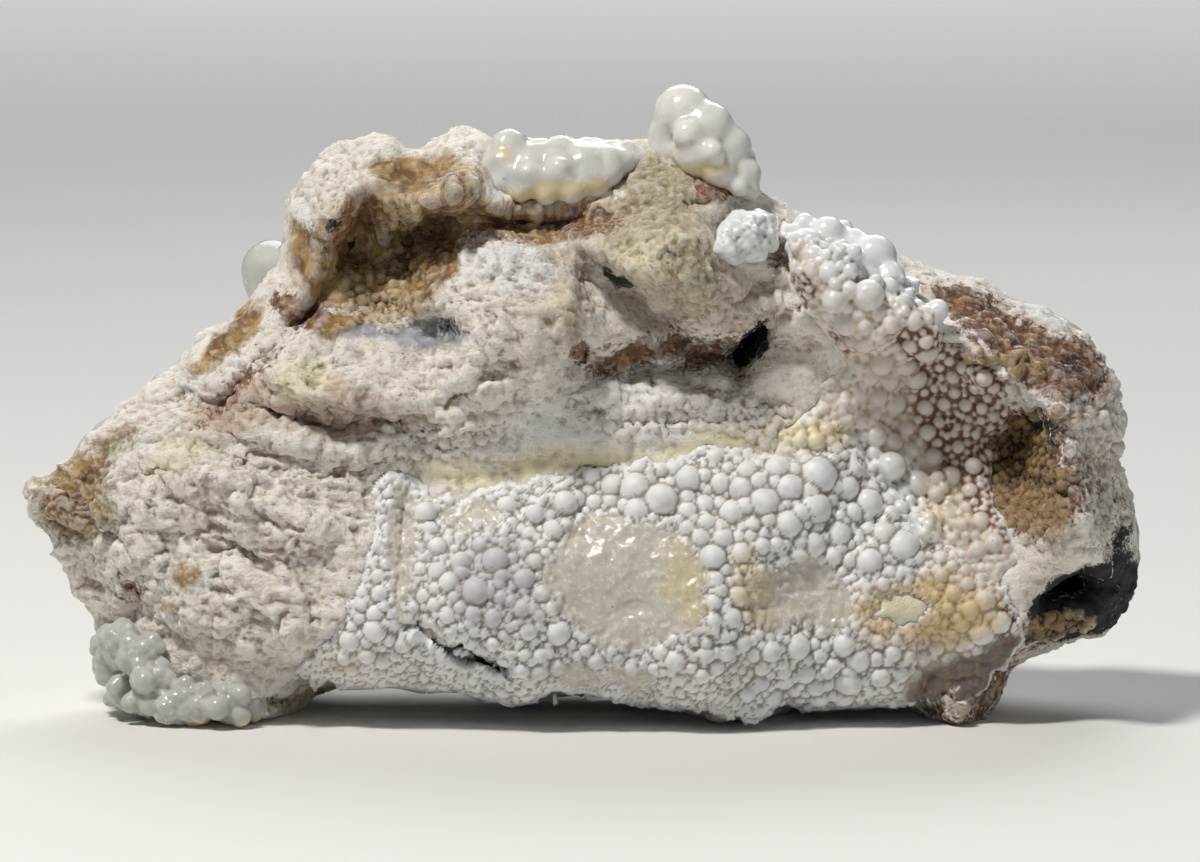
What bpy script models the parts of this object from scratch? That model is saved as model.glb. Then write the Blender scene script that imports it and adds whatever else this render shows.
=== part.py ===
"""Hyalite opal on chalcedony: a hand-sized piece of rough chalcedony with white, grape-like hyalite grown on it.

The stone stands on its base, its broken front face looks along -Y, and +Z is up. Lengths are metres.
Places on the front are photograph pixels, because the outline was read there. PIXEL turns them into metres.
"""

import math

import bmesh
import bpy
import numpy as np
from mathutils import Vector
from mathutils.bvhtree import BVHTree
from mathutils.noise import noise, seed_set

MM = 0.001
PIXEL = 0.08 * MM
MIDDLE_PX = 580.0
BASE_PX = 712.0

# How thick the stone is: it stands on a broad base and thins towards the summit and the left point.
STONE_HEIGHT = 50 * MM
FRONT_AT_BASE = 12.5 * MM
FRONT_AT_SUMMIT = 6.0 * MM
BACK_AT_BASE = 14.5 * MM
BACK_AT_SUMMIT = 6.5 * MM
LEFT_POINT_X = -45 * MM
LEFT_POINT_REACH = 26 * MM
LEFT_POINT_SHARE = 0.5

# How the faces turn over into the side wall.
FRONT_EDGE_RADIUS = 5.0 * MM
BACK_EDGE_RADIUS = 13.0 * MM
FRONT_RIM_SHARE = 0.45
BACK_RIM_SHARE = 0.42
RIM_INSET = 2.2 * MM
RIM_INSET_REACH = 7.0 * MM

SLAB_HALF = 4.0 * MM
STONE_VOXEL = 0.9 * MM
CRUST_VOXEL = 0.55 * MM
GAP = 0.42 * MM
CUTTER_VOXEL = 0.45 * MM
CUTTER_TRIANGLES_SHARE = 1.3
WAVE_LENGTH = 8.0 * MM
WAVE_HEIGHT = 0.8 * MM
CHIP_LENGTH = 3.0 * MM
CHIP_HEIGHT = 0.35 * MM
BASE_SNAP = 0.1 * MM

# A crust is a skin that follows the stone, with lumps on it. Its inner face is cut off by the stone.
SKIN_RISE = 1.2 * MM
SKIN_LOWEST = 2.8 * MM
BACK_CRUST_TURN = 0.12
BACK_CRUST_WANDER = 0.35
BACK_CRUST_FRONT = 1.5 * MM
BACK_CRUST_WANDER_DEPTH = 4.0 * MM
BACK_CRUST_WANDER_LENGTH = 7.0 * MM
LUMP_SINK = 0.35
FLOOR_CLEARANCE = 0.3 * MM

STONE_TRIANGLES = 2100
FRONT_TRIANGLES = 2800
BACK_TRIANGLES = 1700
SUMMIT_TRIANGLES = 750
FOOT_TRIANGLES = 450

# The chalcedony's outline, clockwise from the left point.
STONE_OUTLINE = [
    (22, 484), (60, 466), (84, 432), (126, 400), (165, 377), (200, 344), (236, 314), (262, 290),
    (279, 262), (284, 222), (286, 200), (300, 178), (322, 156), (350, 138), (389, 134), (416, 147),
    (440, 132), (472, 130), (496, 156), (545, 166), (600, 164), (640, 152), (668, 146), (700, 146),
    (728, 158), (750, 182), (772, 200), (800, 216), (835, 222), (885, 246), (925, 272), (980, 286),
    (1040, 316), (1082, 340), (1100, 364), (1108, 400), (1110, 450), (1118, 500), (1124, 545),
    (1124, 580), (1116, 604), (1098, 624), (1068, 632), (1020, 658), (1000, 690), (992, 742),
    (932, 742), (912, 704), (880, 696), (800, 700), (776, 742), (700, 742), (672, 700), (600, 690),
    (545, 696), (500, 696), (460, 680), (400, 680), (340, 680), (308, 694), (284, 742), (150, 742),
    (126, 702), (106, 660), (88, 622), (66, 586), (42, 540),
]

# Relief of the front face: centre x and y, half widths x and y, tilt in degrees (clockwise on the
# photograph), and how far it stands out (+) or sinks in (-), in millimetres.
FRONT_RELIEF = {
    "upper left hollow": (362, 246, 66, 66, 0, -8.0),
    "grey niche": (442, 314, 30, 20, 0, -3.5),
    "recess under the ledge": (515, 212, 85, 24, -8, -6.0),
    "ledge lip": (545, 174, 70, 14, 0, 1.5),
    "ledge shoulder": (456, 160, 30, 26, 0, 3.0),
    "upper left rim": (312, 178, 42, 18, -42, 1.5),
    "fractured block": (658, 246, 66, 38, 32, 4.5),
    "undercut of the block": (640, 300, 62, 13, 38, -3.0),
    "summit": (700, 160, 46, 30, 0, 1.5),
    "hole in the summit": (712, 182, 20, 11, 0, -4.5),
    "white lumps": (742, 230, 30, 20, 0, 2.0),
    "right shoulder": (858, 280, 84, 40, 30, 3.0),
    "dark crevice": (690, 352, 92, 17, -10, -6.0),
    "dark slot": (753, 342, 13, 34, 25, -6.0),
    "shelf": (690, 398, 92, 13, 0, -3.0),
    "chalky middle": (520, 318, 62, 78, 30, 2.5),
    "yellow trough": (600, 440, 165, 13, -6, -2.2),
    "bulge of the lower field": (600, 585, 250, 95, 0, 3.5),
    "left window": (404, 520, 13, 56, 8, -1.8),
    "middle window": (622, 566, 74, 58, 0, -1.8),
    "right window": (796, 570, 52, 40, 20, -1.4),
    "valley": (925, 430, 92, 96, -30, -5.0),
    "brown pocket": (1015, 445, 42, 42, 0, -5.0),
    "right ridge": (1078, 470, 50, 104, 8, 2.5),
    "dark cavity": (1084, 586, 36, 26, 0, -8.0),
    "right foot": (960, 660, 62, 40, 0, -2.5),
    "left field": (200, 520, 130, 84, 0, 2.0),
    "left groove": (255, 335, 62, 15, -42, -2.2),
    "upper bedding ledge": (340, 372, 110, 13, 8, 2.2),
    "lower bedding ledge": (230, 470, 120, 14, 20, 2.0),
    "bedding groove": (300, 430, 110, 11, 12, -1.6),
    "left point hollow": (96, 520, 34, 22, 30, -1.8),
    "left chip": (132, 600, 26, 18, -20, -2.0),
    "foot groove": (300, 668, 48, 16, 10, -2.5),
    "amber hole": (580, 344, 13, 9, 0, -3.0),
}

# Regions of the front that hyalite covers.
FRONT_CRUST = [
    (372, 470), (430, 478), (520, 452), (640, 436), (760, 428), (800, 396), (846, 350), (812, 310),
    (786, 268), (738, 262), (706, 234), (720, 206), (764, 216), (846, 250), (900, 282), (960, 326),
    (1000, 372), (990, 440), (1024, 500), (1012, 580), (1046, 618), (1000, 656), (950, 690),
    (800, 686), (740, 696), (640, 684), (520, 682), (450, 670), (390, 664), (320, 668), (306, 650),
    (350, 606), (388, 560),
]
BARE_WINDOWS = [(622, 562, 54, 40), (404, 520, 14, 52), (796, 572, 42, 28), (1088, 588, 60, 44)]

# Larger lumps placed by hand: x, y and radius in pixels, then depth behind the middle plane in mm.
# The crest's lumps take their depth from the rows below them.
CREST_LUMPS = [
    (684, 109, 31), (706, 120, 28), (726, 138, 26), (740, 164, 22), (670, 132, 27), (704, 148, 26),
    (648, 136, 20), (626, 148, 20), (602, 153, 20), (578, 152, 20), (556, 154, 20), (534, 152, 20),
    (512, 144, 22), (490, 152, 18), (684, 148, 24),
]
CREST_ROWS_MM = [-5.0, -3.6, -2.2, -0.8, 0.6, 2.0, 3.4]
CREST_MIDDLE_MM = -0.8
CREST_DEPTH_MM_PER_PX = 0.2
CREST_FALL_PX = 20
CREST_STAGGER_PX = 9
CREST_WANDER_MM = 0.7
CREST_WANDER_PX = 17
FOOT_LUMPS = [
    (122, 640, 27, -6.5), (146, 650, 24, -9.0), (108, 664, 22, -4.5), (124, 682, 19, -7.0),
    (150, 684, 20, -9.5), (138, 700, 17, -6.5), (176, 690, 19, -10.5), (172, 706, 16, -8.0),
    (204, 694, 20, -11.0), (232, 688, 21, -10.5), (214, 706, 17, -8.5), (252, 696, 18, -9.0),
    (160, 668, 18, -9.5), (188, 672, 16, -10.0), (100, 648, 16, -2.5), (256, 708, 12, -7.0),
]
RIM_LUMPS = [
    (270, 271, 35, 4.6), (256, 290, 24, 4.2), (296, 286, 34, 6.5), (1118, 424, 22, 3.4),
    (1096, 430, 30, 6.0), (1106, 384, 20, 3.4), (1084, 392, 28, 6.0), (148, 390, 16, 2.6),
    (166, 402, 22, 4.4), (98, 436, 17, 2.4), (116, 448, 22, 4.0), (76, 456, 14, 2.0),
    (200, 354, 17, 3.2), (218, 366, 24, 5.2),
]

BACK_SPACING = 6.2 * MM
BACK_RADIUS = (3.6 * MM, 5.6 * MM)
RIM_RADIUS = 1.4 * MM
RIM_RADIUS_GROWTH = 0.45
FRONT_SPACING = 3.0 * MM
FRONT_RADIUS = (1.7 * MM, 2.3 * MM)
SHOULDER_RADIUS_SHARE = 1.35
SHOULDER_PX = 340
RANDOM_SEED = 7

FINISHES = {
    "chalcedony_matrix": ((0.62, 0.54, 0.42), 0.62),
    "hyalite_front_crust": ((0.80, 0.78, 0.72), 0.38),
    "hyalite_back_crust": ((0.70, 0.72, 0.70), 0.22),
    "hyalite_summit": ((0.83, 0.82, 0.78), 0.25),
    "hyalite_foot_cluster": ((0.74, 0.74, 0.72), 0.30),
}


def to_metres(px, py):
    """A pixel of the photograph as x and z on the stone's middle plane."""
    return (px - MIDDLE_PX) * PIXEL, (BASE_PX - py) * PIXEL


def clear_scene():
    for obj in list(bpy.data.objects):
        bpy.data.objects.remove(obj)


def collection_named(name):
    made = bpy.data.collections.new(name)
    bpy.context.scene.collection.children.link(made)
    return made


def applied(obj):
    """The object with its modifiers applied, as a new mesh on the same object."""
    graph = bpy.context.evaluated_depsgraph_get()
    mesh = bpy.data.meshes.new_from_object(obj.evaluated_get(graph))
    obj.modifiers.clear()
    obj.data = mesh
    return obj


def points_of(mesh):
    found = np.empty(len(mesh.vertices) * 3, np.float32)
    mesh.vertices.foreach_get("co", found)
    return found.reshape(-1, 3).astype(float)


def set_points(mesh, points):
    mesh.vertices.foreach_set("co", points.astype(np.float32).ravel())
    mesh.update()


def remesh(obj, voxel):
    fuse = obj.modifiers.new("fuse", "REMESH")
    fuse.mode = "VOXEL"
    fuse.voxel_size = voxel
    return applied(obj)


def thin_to(obj, triangles):
    """Fewer triangles, kept where the surface bends most."""
    obj.data.calc_loop_triangles()
    thin = obj.modifiers.new("thin", "DECIMATE")
    thin.ratio = min(1.0, triangles / len(obj.data.loop_triangles))
    return applied(obj)


def bevel_share(depth_in, radius, rim):
    """How much of the full depth a face has at this distance inside the outline."""
    t = 1 - np.clip(depth_in / radius, 0, 1)
    return rim + (1 - rim) * np.sqrt(1 - t**2)


def smooth_step(t):
    t = np.clip(t, 0, 1)
    return t * t * (3 - 2 * t)


def outline_distance(points, outline):
    """Distance from each (x, z) to the closed outline, and the outward direction there."""
    best = np.full(len(points), np.inf)
    outward = np.zeros((len(points), 2))
    for start, end in zip(outline, np.roll(outline, -1, axis=0)):
        along = end - start
        share = np.clip((points - start) @ along / (along @ along), 0, 1)
        away = points - (start + share[:, None] * along)
        length = np.hypot(away[:, 0], away[:, 1])
        nearer = length < best
        best[nearer] = length[nearer]
        outward[nearer] = np.array([-along[1], along[0]]) / np.hypot(*along)
    return best, outward


def relief_at(points):
    """How far the front face stands out at each (x, z), from the named forms."""
    rise = np.zeros(len(points))
    for px, py, half_x, half_y, tilt, height in FRONT_RELIEF.values():
        x, z = to_metres(px, py)
        turn = math.radians(tilt)
        right, down = points[:, 0] - x, z - points[:, 1]
        u = (right * math.cos(turn) + down * math.sin(turn)) / (half_x * PIXEL)
        v = (down * math.cos(turn) - right * math.sin(turn)) / (half_y * PIXEL)
        rise += height * MM * np.exp(-((u * u + v * v) ** 1.5))
    return rise


def make_slab():
    """The outline as a flat curve with thickness, made a mesh of even faces."""
    curve = bpy.data.curves.new("stone_outline", "CURVE")
    curve.dimensions = "2D"
    curve.fill_mode = "BOTH"
    curve.extrude = SLAB_HALF
    spline = curve.splines.new("POLY")
    spline.points.add(len(STONE_OUTLINE) - 1)
    for point, place in zip(spline.points, STONE_OUTLINE):
        point.co = (*to_metres(*place), 0, 1)
    spline.use_cyclic_u = True
    flat = bpy.data.objects.new("stone_outline", curve)
    bpy.context.scene.collection.objects.link(flat)
    graph = bpy.context.evaluated_depsgraph_get()
    mesh = bpy.data.meshes.new_from_object(flat.evaluated_get(graph))
    bpy.data.objects.remove(flat)
    points = points_of(mesh)
    set_points(mesh, np.column_stack([points[:, 0], -points[:, 2], points[:, 1]]))
    shell = bmesh.new()
    shell.from_mesh(mesh)
    bmesh.ops.remove_doubles(shell, verts=shell.verts, dist=0.01 * MM)
    shell.to_mesh(mesh)
    shell.free()
    return mesh


def shape_stone(points):
    """Turns the even slab into the stone: its depth, its rounded edges, its relief and its flat base."""
    outline = np.array([to_metres(*place) for place in STONE_OUTLINE])
    flat = points[:, [0, 2]]
    inside, outward = outline_distance(flat, outline)
    through = np.clip(points[:, 1] / SLAB_HALF, -1, 1)
    height = np.clip(flat[:, 1] / STONE_HEIGHT, 0, 1)
    left = LEFT_POINT_SHARE + (1 - LEFT_POINT_SHARE) * smooth_step((flat[:, 0] - LEFT_POINT_X) / LEFT_POINT_REACH)
    front = (FRONT_AT_BASE + (FRONT_AT_SUMMIT - FRONT_AT_BASE) * height) * left
    back = (BACK_AT_BASE + (BACK_AT_SUMMIT - BACK_AT_BASE) * height) * left
    relief = relief_at(flat) * smooth_step(inside / (2 * MM))
    front = front * bevel_share(inside, FRONT_EDGE_RADIUS, FRONT_RIM_SHARE) + relief
    back = back * bevel_share(inside, BACK_EDGE_RADIUS, BACK_RIM_SHARE)
    share = (through + 1) / 2
    depth = -front * (1 - share) + back * share
    inset = RIM_INSET * (1 - np.sqrt(1 - through**2)) * (1 - smooth_step(inside / RIM_INSET_REACH))
    shaped = np.column_stack([flat[:, 0] - outward[:, 0] * inset, depth, flat[:, 1] - outward[:, 1] * inset])
    rough = np.array([
        WAVE_HEIGHT * noise(Vector(p) / WAVE_LENGTH) + CHIP_HEIGHT * noise(Vector(p) / CHIP_LENGTH)
        for p in shaped
    ])
    shaped[:, 1] -= rough * (through < 0)
    shaped[:, 2] = np.maximum(shaped[:, 2], 0)
    return shaped


def make_stone(collection):
    mesh = make_slab()
    stone = bpy.data.objects.new("chalcedony_matrix", mesh)
    collection.objects.link(stone)
    remesh(stone, STONE_VOXEL)
    set_points(stone.data, shape_stone(points_of(stone.data)))
    return stone


def flatten_base(stone):
    """Points that thinning lifted a hair off the ground sit on it again."""
    points = points_of(stone.data)
    points[np.abs(points[:, 2]) < BASE_SNAP, 2] = 0
    set_points(stone.data, points)


def inside_region(place, region):
    """Whether a point is inside a closed outline: it crosses an odd number of its edges."""
    x, y = place
    crossed = False
    for (x1, y1), (x2, y2) in zip(region, region[1:] + region[:1]):
        if (y1 > y) != (y2 > y) and x < (x2 - x1) * (y - y1) / (y2 - y1) + x1:
            crossed = not crossed
    return crossed


def in_bare_window(place):
    return any(
        ((place[0] - px) / half_x) ** 2 + ((place[1] - py) / half_y) ** 2 < 1
        for px, py, half_x, half_y in BARE_WINDOWS
    )


def spread(places, spacing, random):
    """A subset of the places with at least this spacing, in a fixed random order."""
    kept = np.empty((0, 3))
    for place in random.permutation(places):
        if not len(kept) or np.min(np.sum((kept - place) ** 2, axis=1)) > spacing**2:
            kept = np.vstack([kept, place])
    return kept


def pixel_of(place):
    """The photograph's pixel of a place on the stone."""
    return place[0] / PIXEL + MIDDLE_PX, BASE_PX - place[2] / PIXEL


def under_front_crust(place, normal):
    pixel = pixel_of(place)
    return (
        normal[1] < -0.1
        and place[2] > SKIN_LOWEST
        and inside_region(pixel, FRONT_CRUST)
        and not in_bare_window(pixel)
    )


def distance_inside(place):
    """How far inside the stone's outline a place is."""
    outline = np.array([to_metres(*corner) for corner in STONE_OUTLINE])
    inside, _ = outline_distance(np.array([[place[0], place[2]]]), outline)
    return inside[0]


def under_back_crust(place, normal):
    wander = noise(Vector(place) / BACK_CRUST_WANDER_LENGTH)
    return (
        normal[1] > BACK_CRUST_TURN + BACK_CRUST_WANDER * wander
        and place[1] > BACK_CRUST_FRONT + BACK_CRUST_WANDER_DEPTH * wander
        and place[2] > SKIN_LOWEST
    )


def skin_of(stone, covered, collection):
    """The covered faces of the stone as a closed skin, thick enough to reach into the stone."""
    shape = bmesh.new()
    shape.from_mesh(stone.data)
    bare = [face for face in shape.faces if not covered(face.calc_center_median(), face.normal)]
    bmesh.ops.delete(shape, geom=bare, context="FACES")
    mesh = bpy.data.meshes.new("skin")
    shape.to_mesh(mesh)
    shape.free()
    skin = bpy.data.objects.new("skin", mesh)
    collection.objects.link(skin)
    thicken = skin.modifiers.new("thicken", "SOLIDIFY")
    thicken.thickness = 2 * SKIN_RISE
    thicken.offset = 0
    return applied(skin)


def larger_on_shoulder(size, place):
    return size * SHOULDER_RADIUS_SHARE if pixel_of(place)[1] < SHOULDER_PX else size


def smaller_at_rim(size, place):
    return min(size, RIM_RADIUS + RIM_RADIUS_GROWTH * distance_inside(place))


def scattered(stone, covered, spacing, radius, fitted, random):
    """Lumps over the covered part of the stone, standing on its skin."""
    places = [v.co for v in stone.data.vertices if covered(v.co, v.normal)]
    tree = BVHTree.FromObject(stone, bpy.context.evaluated_depsgraph_get())
    lumps = []
    for place in spread(np.array(places), spacing, random):
        size = fitted(random.uniform(*radius), place)
        _, normal, _, _ = tree.find_nearest(Vector(place))
        centre = Vector(place) + normal * (SKIN_RISE - LUMP_SINK * size)
        lumps.append((*centre, size))
    return lumps


def placed(lumps):
    """Lumps placed by hand, as centre and radius in metres."""
    found = []
    for px, py, radius, depth in lumps:
        x, z = to_metres(px, py)
        found.append((x, depth * MM, z, radius * PIXEL))
    return found


def crest_lumps():
    """The summit and the ledge beside it: one line of lumps, in rows that fall away to front and back."""
    lumps = []
    for row, depth in enumerate(CREST_ROWS_MM):
        for px, py, radius in CREST_LUMPS:
            half_depth = radius * CREST_DEPTH_MM_PER_PX
            aside = ((depth - CREST_MIDDLE_MM) / half_depth) ** 2
            if aside < 1:
                lumps.append((
                    px + CREST_STAGGER_PX * (row % 2),
                    py + CREST_FALL_PX * aside,
                    radius * math.sqrt(1 - aside),
                    depth + CREST_WANDER_MM * math.sin(px / CREST_WANDER_PX),
                ))
    return lumps


def join_spheres(name, lumps, skin, collection):
    shape = bmesh.new()
    for x, y, z, radius in lumps:
        ball = bmesh.ops.create_icosphere(shape, subdivisions=3, radius=radius)
        bmesh.ops.translate(shape, verts=ball["verts"], vec=(x, y, max(z, radius + FLOOR_CLEARANCE)))
    if skin:
        shape.from_mesh(skin.data)
    mesh = bpy.data.meshes.new(name)
    shape.to_mesh(mesh)
    shape.free()
    obj = bpy.data.objects.new(name, mesh)
    collection.objects.link(obj)
    return obj


def keep_largest_body(mesh):
    """Drops the crumbs that a cut leaves beside the main body."""
    shape = bmesh.new()
    shape.from_mesh(mesh)
    bodies, seen = [], set()
    for start in shape.verts:
        if start in seen:
            continue
        body, waiting = [], [start]
        seen.add(start)
        while waiting:
            vertex = waiting.pop()
            body.append(vertex)
            for edge in vertex.link_edges:
                other = edge.other_vert(vertex)
                if other not in seen:
                    seen.add(other)
                    waiting.append(other)
        bodies.append(body)
    bodies.sort(key=len)
    for body in bodies[:-1]:
        bmesh.ops.delete(shape, geom=body, context="VERTS")
    shape.to_mesh(mesh)
    shape.free()


def grow_crust(name, lumps, skin, triangles, cutters, collection):
    """One hyalite growth: fused lumps, cut where the stone and its neighbours are."""
    crust = join_spheres(name, lumps, skin, collection)
    remesh(crust, CRUST_VOXEL)
    thin_to(crust, triangles)
    for cutter in cutters:
        cut = crust.modifiers.new("seat", "BOOLEAN")
        cut.operation = "DIFFERENCE"
        cut.object = cutter
        applied(crust)
    keep_largest_body(crust.data)
    return crust


def swollen_copy(obj, collection):
    """A cutter that is the gap larger than the solid all over."""
    cutter = bpy.data.objects.new(obj.name + "_cutter", obj.data.copy())
    collection.objects.link(cutter)
    swell = cutter.modifiers.new("swell", "DISPLACE")
    swell.strength = GAP
    swell.mid_level = 0
    applied(cutter)
    remesh(cutter, CUTTER_VOXEL)
    obj.data.calc_loop_triangles()
    thin_to(cutter, CUTTER_TRIANGLES_SHARE * len(obj.data.loop_triangles))
    cutter.hide_render = True
    cutter.display_type = "WIRE"
    return cutter


def finish(obj):
    colour, roughness = FINISHES[obj.name]
    material = bpy.data.materials.new(obj.name)
    material.use_nodes = True
    shader = material.node_tree.nodes["Principled BSDF"]
    shader.inputs["Base Color"].default_value = (*colour, 1)
    shader.inputs["Roughness"].default_value = roughness
    material.diffuse_color = (*colour, 1)
    obj.data.materials.clear()
    obj.data.materials.append(material)


def centre_on_base(objects):
    """Moves everything so that the origin is the middle of the base of the whole box."""
    every = np.vstack([points_of(obj.data) for obj in objects])
    low, high = every.min(axis=0), every.max(axis=0)
    middle = np.array([(low[0] + high[0]) / 2, (low[1] + high[1]) / 2, low[2]])
    for obj in objects:
        set_points(obj.data, points_of(obj.data) - middle)
    print("moved to the base centre by", middle)


def main():
    clear_scene()
    seed_set(RANDOM_SEED)
    random = np.random.default_rng(RANDOM_SEED)
    parts = collection_named("hyalite_on_chalcedony")
    helpers = collection_named("helpers")
    stone = make_stone(parts)
    front_skin = skin_of(stone, under_front_crust, helpers)
    back_skin = skin_of(stone, under_back_crust, helpers)
    front_lumps = scattered(stone, under_front_crust, FRONT_SPACING, FRONT_RADIUS, larger_on_shoulder, random)
    back_lumps = scattered(stone, under_back_crust, BACK_SPACING, BACK_RADIUS, smaller_at_rim, random)
    thin_to(stone, STONE_TRIANGLES)
    flatten_base(stone)
    made = [stone]
    cutters = [swollen_copy(stone, helpers)]
    for name, lumps, skin, triangles in [
        ("hyalite_summit", placed(crest_lumps()), None, SUMMIT_TRIANGLES),
        ("hyalite_foot_cluster", placed(FOOT_LUMPS), None, FOOT_TRIANGLES),
        ("hyalite_front_crust", front_lumps, front_skin, FRONT_TRIANGLES),
        ("hyalite_back_crust", back_lumps + placed(RIM_LUMPS), back_skin, BACK_TRIANGLES),
    ]:
        crust = grow_crust(name, lumps, skin, triangles, cutters, parts)
        made.append(crust)
        cutters.append(swollen_copy(crust, helpers))
    for skin in (front_skin, back_skin):
        bpy.data.objects.remove(skin)
    for obj in made:
        finish(obj)
    centre_on_base(made)


main()
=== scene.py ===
import math

import bmesh
import bpy
import numpy as np
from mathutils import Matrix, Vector
from mathutils.kdtree import KDTree


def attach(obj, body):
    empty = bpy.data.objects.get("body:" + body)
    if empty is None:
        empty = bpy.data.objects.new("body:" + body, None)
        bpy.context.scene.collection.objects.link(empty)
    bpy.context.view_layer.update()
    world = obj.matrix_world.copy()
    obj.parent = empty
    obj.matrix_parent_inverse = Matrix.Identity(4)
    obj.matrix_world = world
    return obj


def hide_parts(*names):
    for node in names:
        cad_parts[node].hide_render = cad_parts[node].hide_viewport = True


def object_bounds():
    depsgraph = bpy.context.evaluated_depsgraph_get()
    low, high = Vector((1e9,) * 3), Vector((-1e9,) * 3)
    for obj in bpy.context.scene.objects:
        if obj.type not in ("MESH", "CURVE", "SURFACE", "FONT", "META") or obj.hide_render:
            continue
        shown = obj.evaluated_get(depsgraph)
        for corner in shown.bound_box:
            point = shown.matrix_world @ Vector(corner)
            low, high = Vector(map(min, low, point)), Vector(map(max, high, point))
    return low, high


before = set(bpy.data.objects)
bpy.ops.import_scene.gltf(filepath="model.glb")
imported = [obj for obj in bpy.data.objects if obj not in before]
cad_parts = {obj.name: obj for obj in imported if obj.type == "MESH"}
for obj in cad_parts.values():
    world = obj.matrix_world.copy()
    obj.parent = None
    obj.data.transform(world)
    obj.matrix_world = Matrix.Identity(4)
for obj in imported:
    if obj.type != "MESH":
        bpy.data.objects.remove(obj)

cadLow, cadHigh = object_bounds()
mm = 0.001

# Places on the front are photograph pixels, as in the part's own source. x and z are metres in the row frame.
layout = {
    "pixel": 0.08 * mm,
    "middlePx": 583.79,
    "basePx": 712.0,
    "depthShift": 0.07 * mm,
}


def toPlane(px, py):
    x = (np.asarray(px, float) - layout["middlePx"]) * layout["pixel"]
    return x, (layout["basePx"] - np.asarray(py, float)) * layout["pixel"]


def pixelsOf(x, z):
    return x / layout["pixel"] + layout["middlePx"], layout["basePx"] - z / layout["pixel"]


def smoothStep(t):
    t = np.clip(t, 0, 1)
    return t * t * (3 - 2 * t)


def smoothBetween(value, low, high):
    return smoothStep((value - low) / (high - low))


# noise, worked out for whole arrays at once
def latticeHash(ix, iy, iz, seed):
    allBits = 0xFFFFFFFF
    n = ((ix * 73856093) ^ (iy * 19349663) ^ (iz * 83492791) ^ (seed * 40503 + 977)) & allBits
    n = ((n ^ (n >> 13)) * 1274126177) & allBits
    n = ((n ^ (n >> 16)) * 668265263) & allBits
    return (n ^ (n >> 15)) / allBits


def softNoise(points, cell, seed):
    scaled = points / cell
    corner = np.floor(scaled).astype(np.int64)
    f = scaled - corner
    f = f * f * (3 - 2 * f)
    total = np.zeros(len(points))
    for dx in (0, 1):
        for dy in (0, 1):
            for dz in (0, 1):
                weight = (
                    (f[:, 0] if dx else 1 - f[:, 0])
                    * (f[:, 1] if dy else 1 - f[:, 1])
                    * (f[:, 2] if dz else 1 - f[:, 2])
                )
                total += weight * latticeHash(corner[:, 0] + dx, corner[:, 1] + dy, corner[:, 2] + dz, seed)
    return 2 * total - 1


def roughNoise(points, cell, seed, octaves=4, gain=0.5):
    total, share = np.zeros(len(points)), 1.0
    for octave in range(octaves):
        total += share * softNoise(points, cell / 2**octave, seed + 31 * octave)
        share *= gain
    return total


# sharp crests with round valleys between them, like broken edges
def ridgedNoise(points, cell, seed, octaves=4, gain=0.55):
    total, share = np.zeros(len(points)), 1.0
    for octave in range(octaves):
        total += share * (1 - 2 * np.abs(softNoise(points, cell / 2**octave, seed + 37 * octave)))
        share *= gain
    return total


# distance to the nearest and second nearest cell point, a tone for each cell, and a leaning plane in each
def cellNoise(points, cell, seed):
    scaled = points / cell
    corner = np.floor(scaled).astype(np.int64)
    nearest = np.full(len(points), 9.0)
    second = np.full(len(points), 9.0)
    tone = np.zeros(len(points))
    plane = np.zeros(len(points))
    for dx in (-1, 0, 1):
        for dy in (-1, 0, 1):
            for dz in (-1, 0, 1):
                ix, iy, iz = corner[:, 0] + dx, corner[:, 1] + dy, corner[:, 2] + dz
                toX = ix + latticeHash(ix, iy, iz, seed) - scaled[:, 0]
                toY = iy + latticeHash(ix, iy, iz, seed + 1) - scaled[:, 1]
                toZ = iz + latticeHash(ix, iy, iz, seed + 2) - scaled[:, 2]
                away = toX**2 + toY**2 + toZ**2
                closer = away < nearest
                second = np.where(closer, nearest, np.minimum(second, away))
                own = latticeHash(ix, iy, iz, seed + 3)
                leaning = toX * (2 * own - 1) + toZ * (2 * latticeHash(ix, iy, iz, seed + 4) - 1)
                tone = np.where(closer, own, tone)
                plane = np.where(closer, leaning, plane)
                nearest = np.where(closer, away, nearest)
    return np.sqrt(nearest), np.sqrt(second), tone, plane


# rounded patches that fade at their edge: x, y, half widths, tilt, strength
def patches(px, py, spots):
    total = np.zeros(len(px))
    for cx, cy, halfX, halfY, tilt, strength in spots:
        turn = math.radians(tilt)
        right, down = px - cx, py - cy
        u = (right * math.cos(turn) + down * math.sin(turn)) / halfX
        v = (down * math.cos(turn) - right * math.sin(turn)) / halfY
        total += strength * np.exp(-((u * u + v * v) ** 1.5))
    return total


# pixel places shifted by noise, so that no patch or ledge keeps a plain outline
def wanderingPixels(px, py, seed, wide=11.0, fine=4.5):
    wideCell, fineCell = 55, 15
    level = np.column_stack([px, np.zeros(len(px)), py])
    right = wide * softNoise(level, wideCell, seed) + fine * roughNoise(level, fineCell, seed + 1, 3)
    down = wide * softNoise(level, wideCell, seed + 2) + fine * roughNoise(level, fineCell, seed + 3, 3)
    return px + right, py + down


def outlineDistance(flat, outline):
    best = np.full(len(flat), np.inf)
    outward = np.zeros((len(flat), 2))
    for start, end in zip(outline, np.roll(outline, -1, axis=0)):
        along = end - start
        share = np.clip((flat - start) @ along / (along @ along), 0, 1)
        away = flat - (start + share[:, None] * along)
        length = np.hypot(away[:, 0], away[:, 1])
        nearer = length < best
        best[nearer] = length[nearer]
        outward[nearer] = np.array([-along[1], along[0]]) / np.hypot(*along)
    return best, outward


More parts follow.
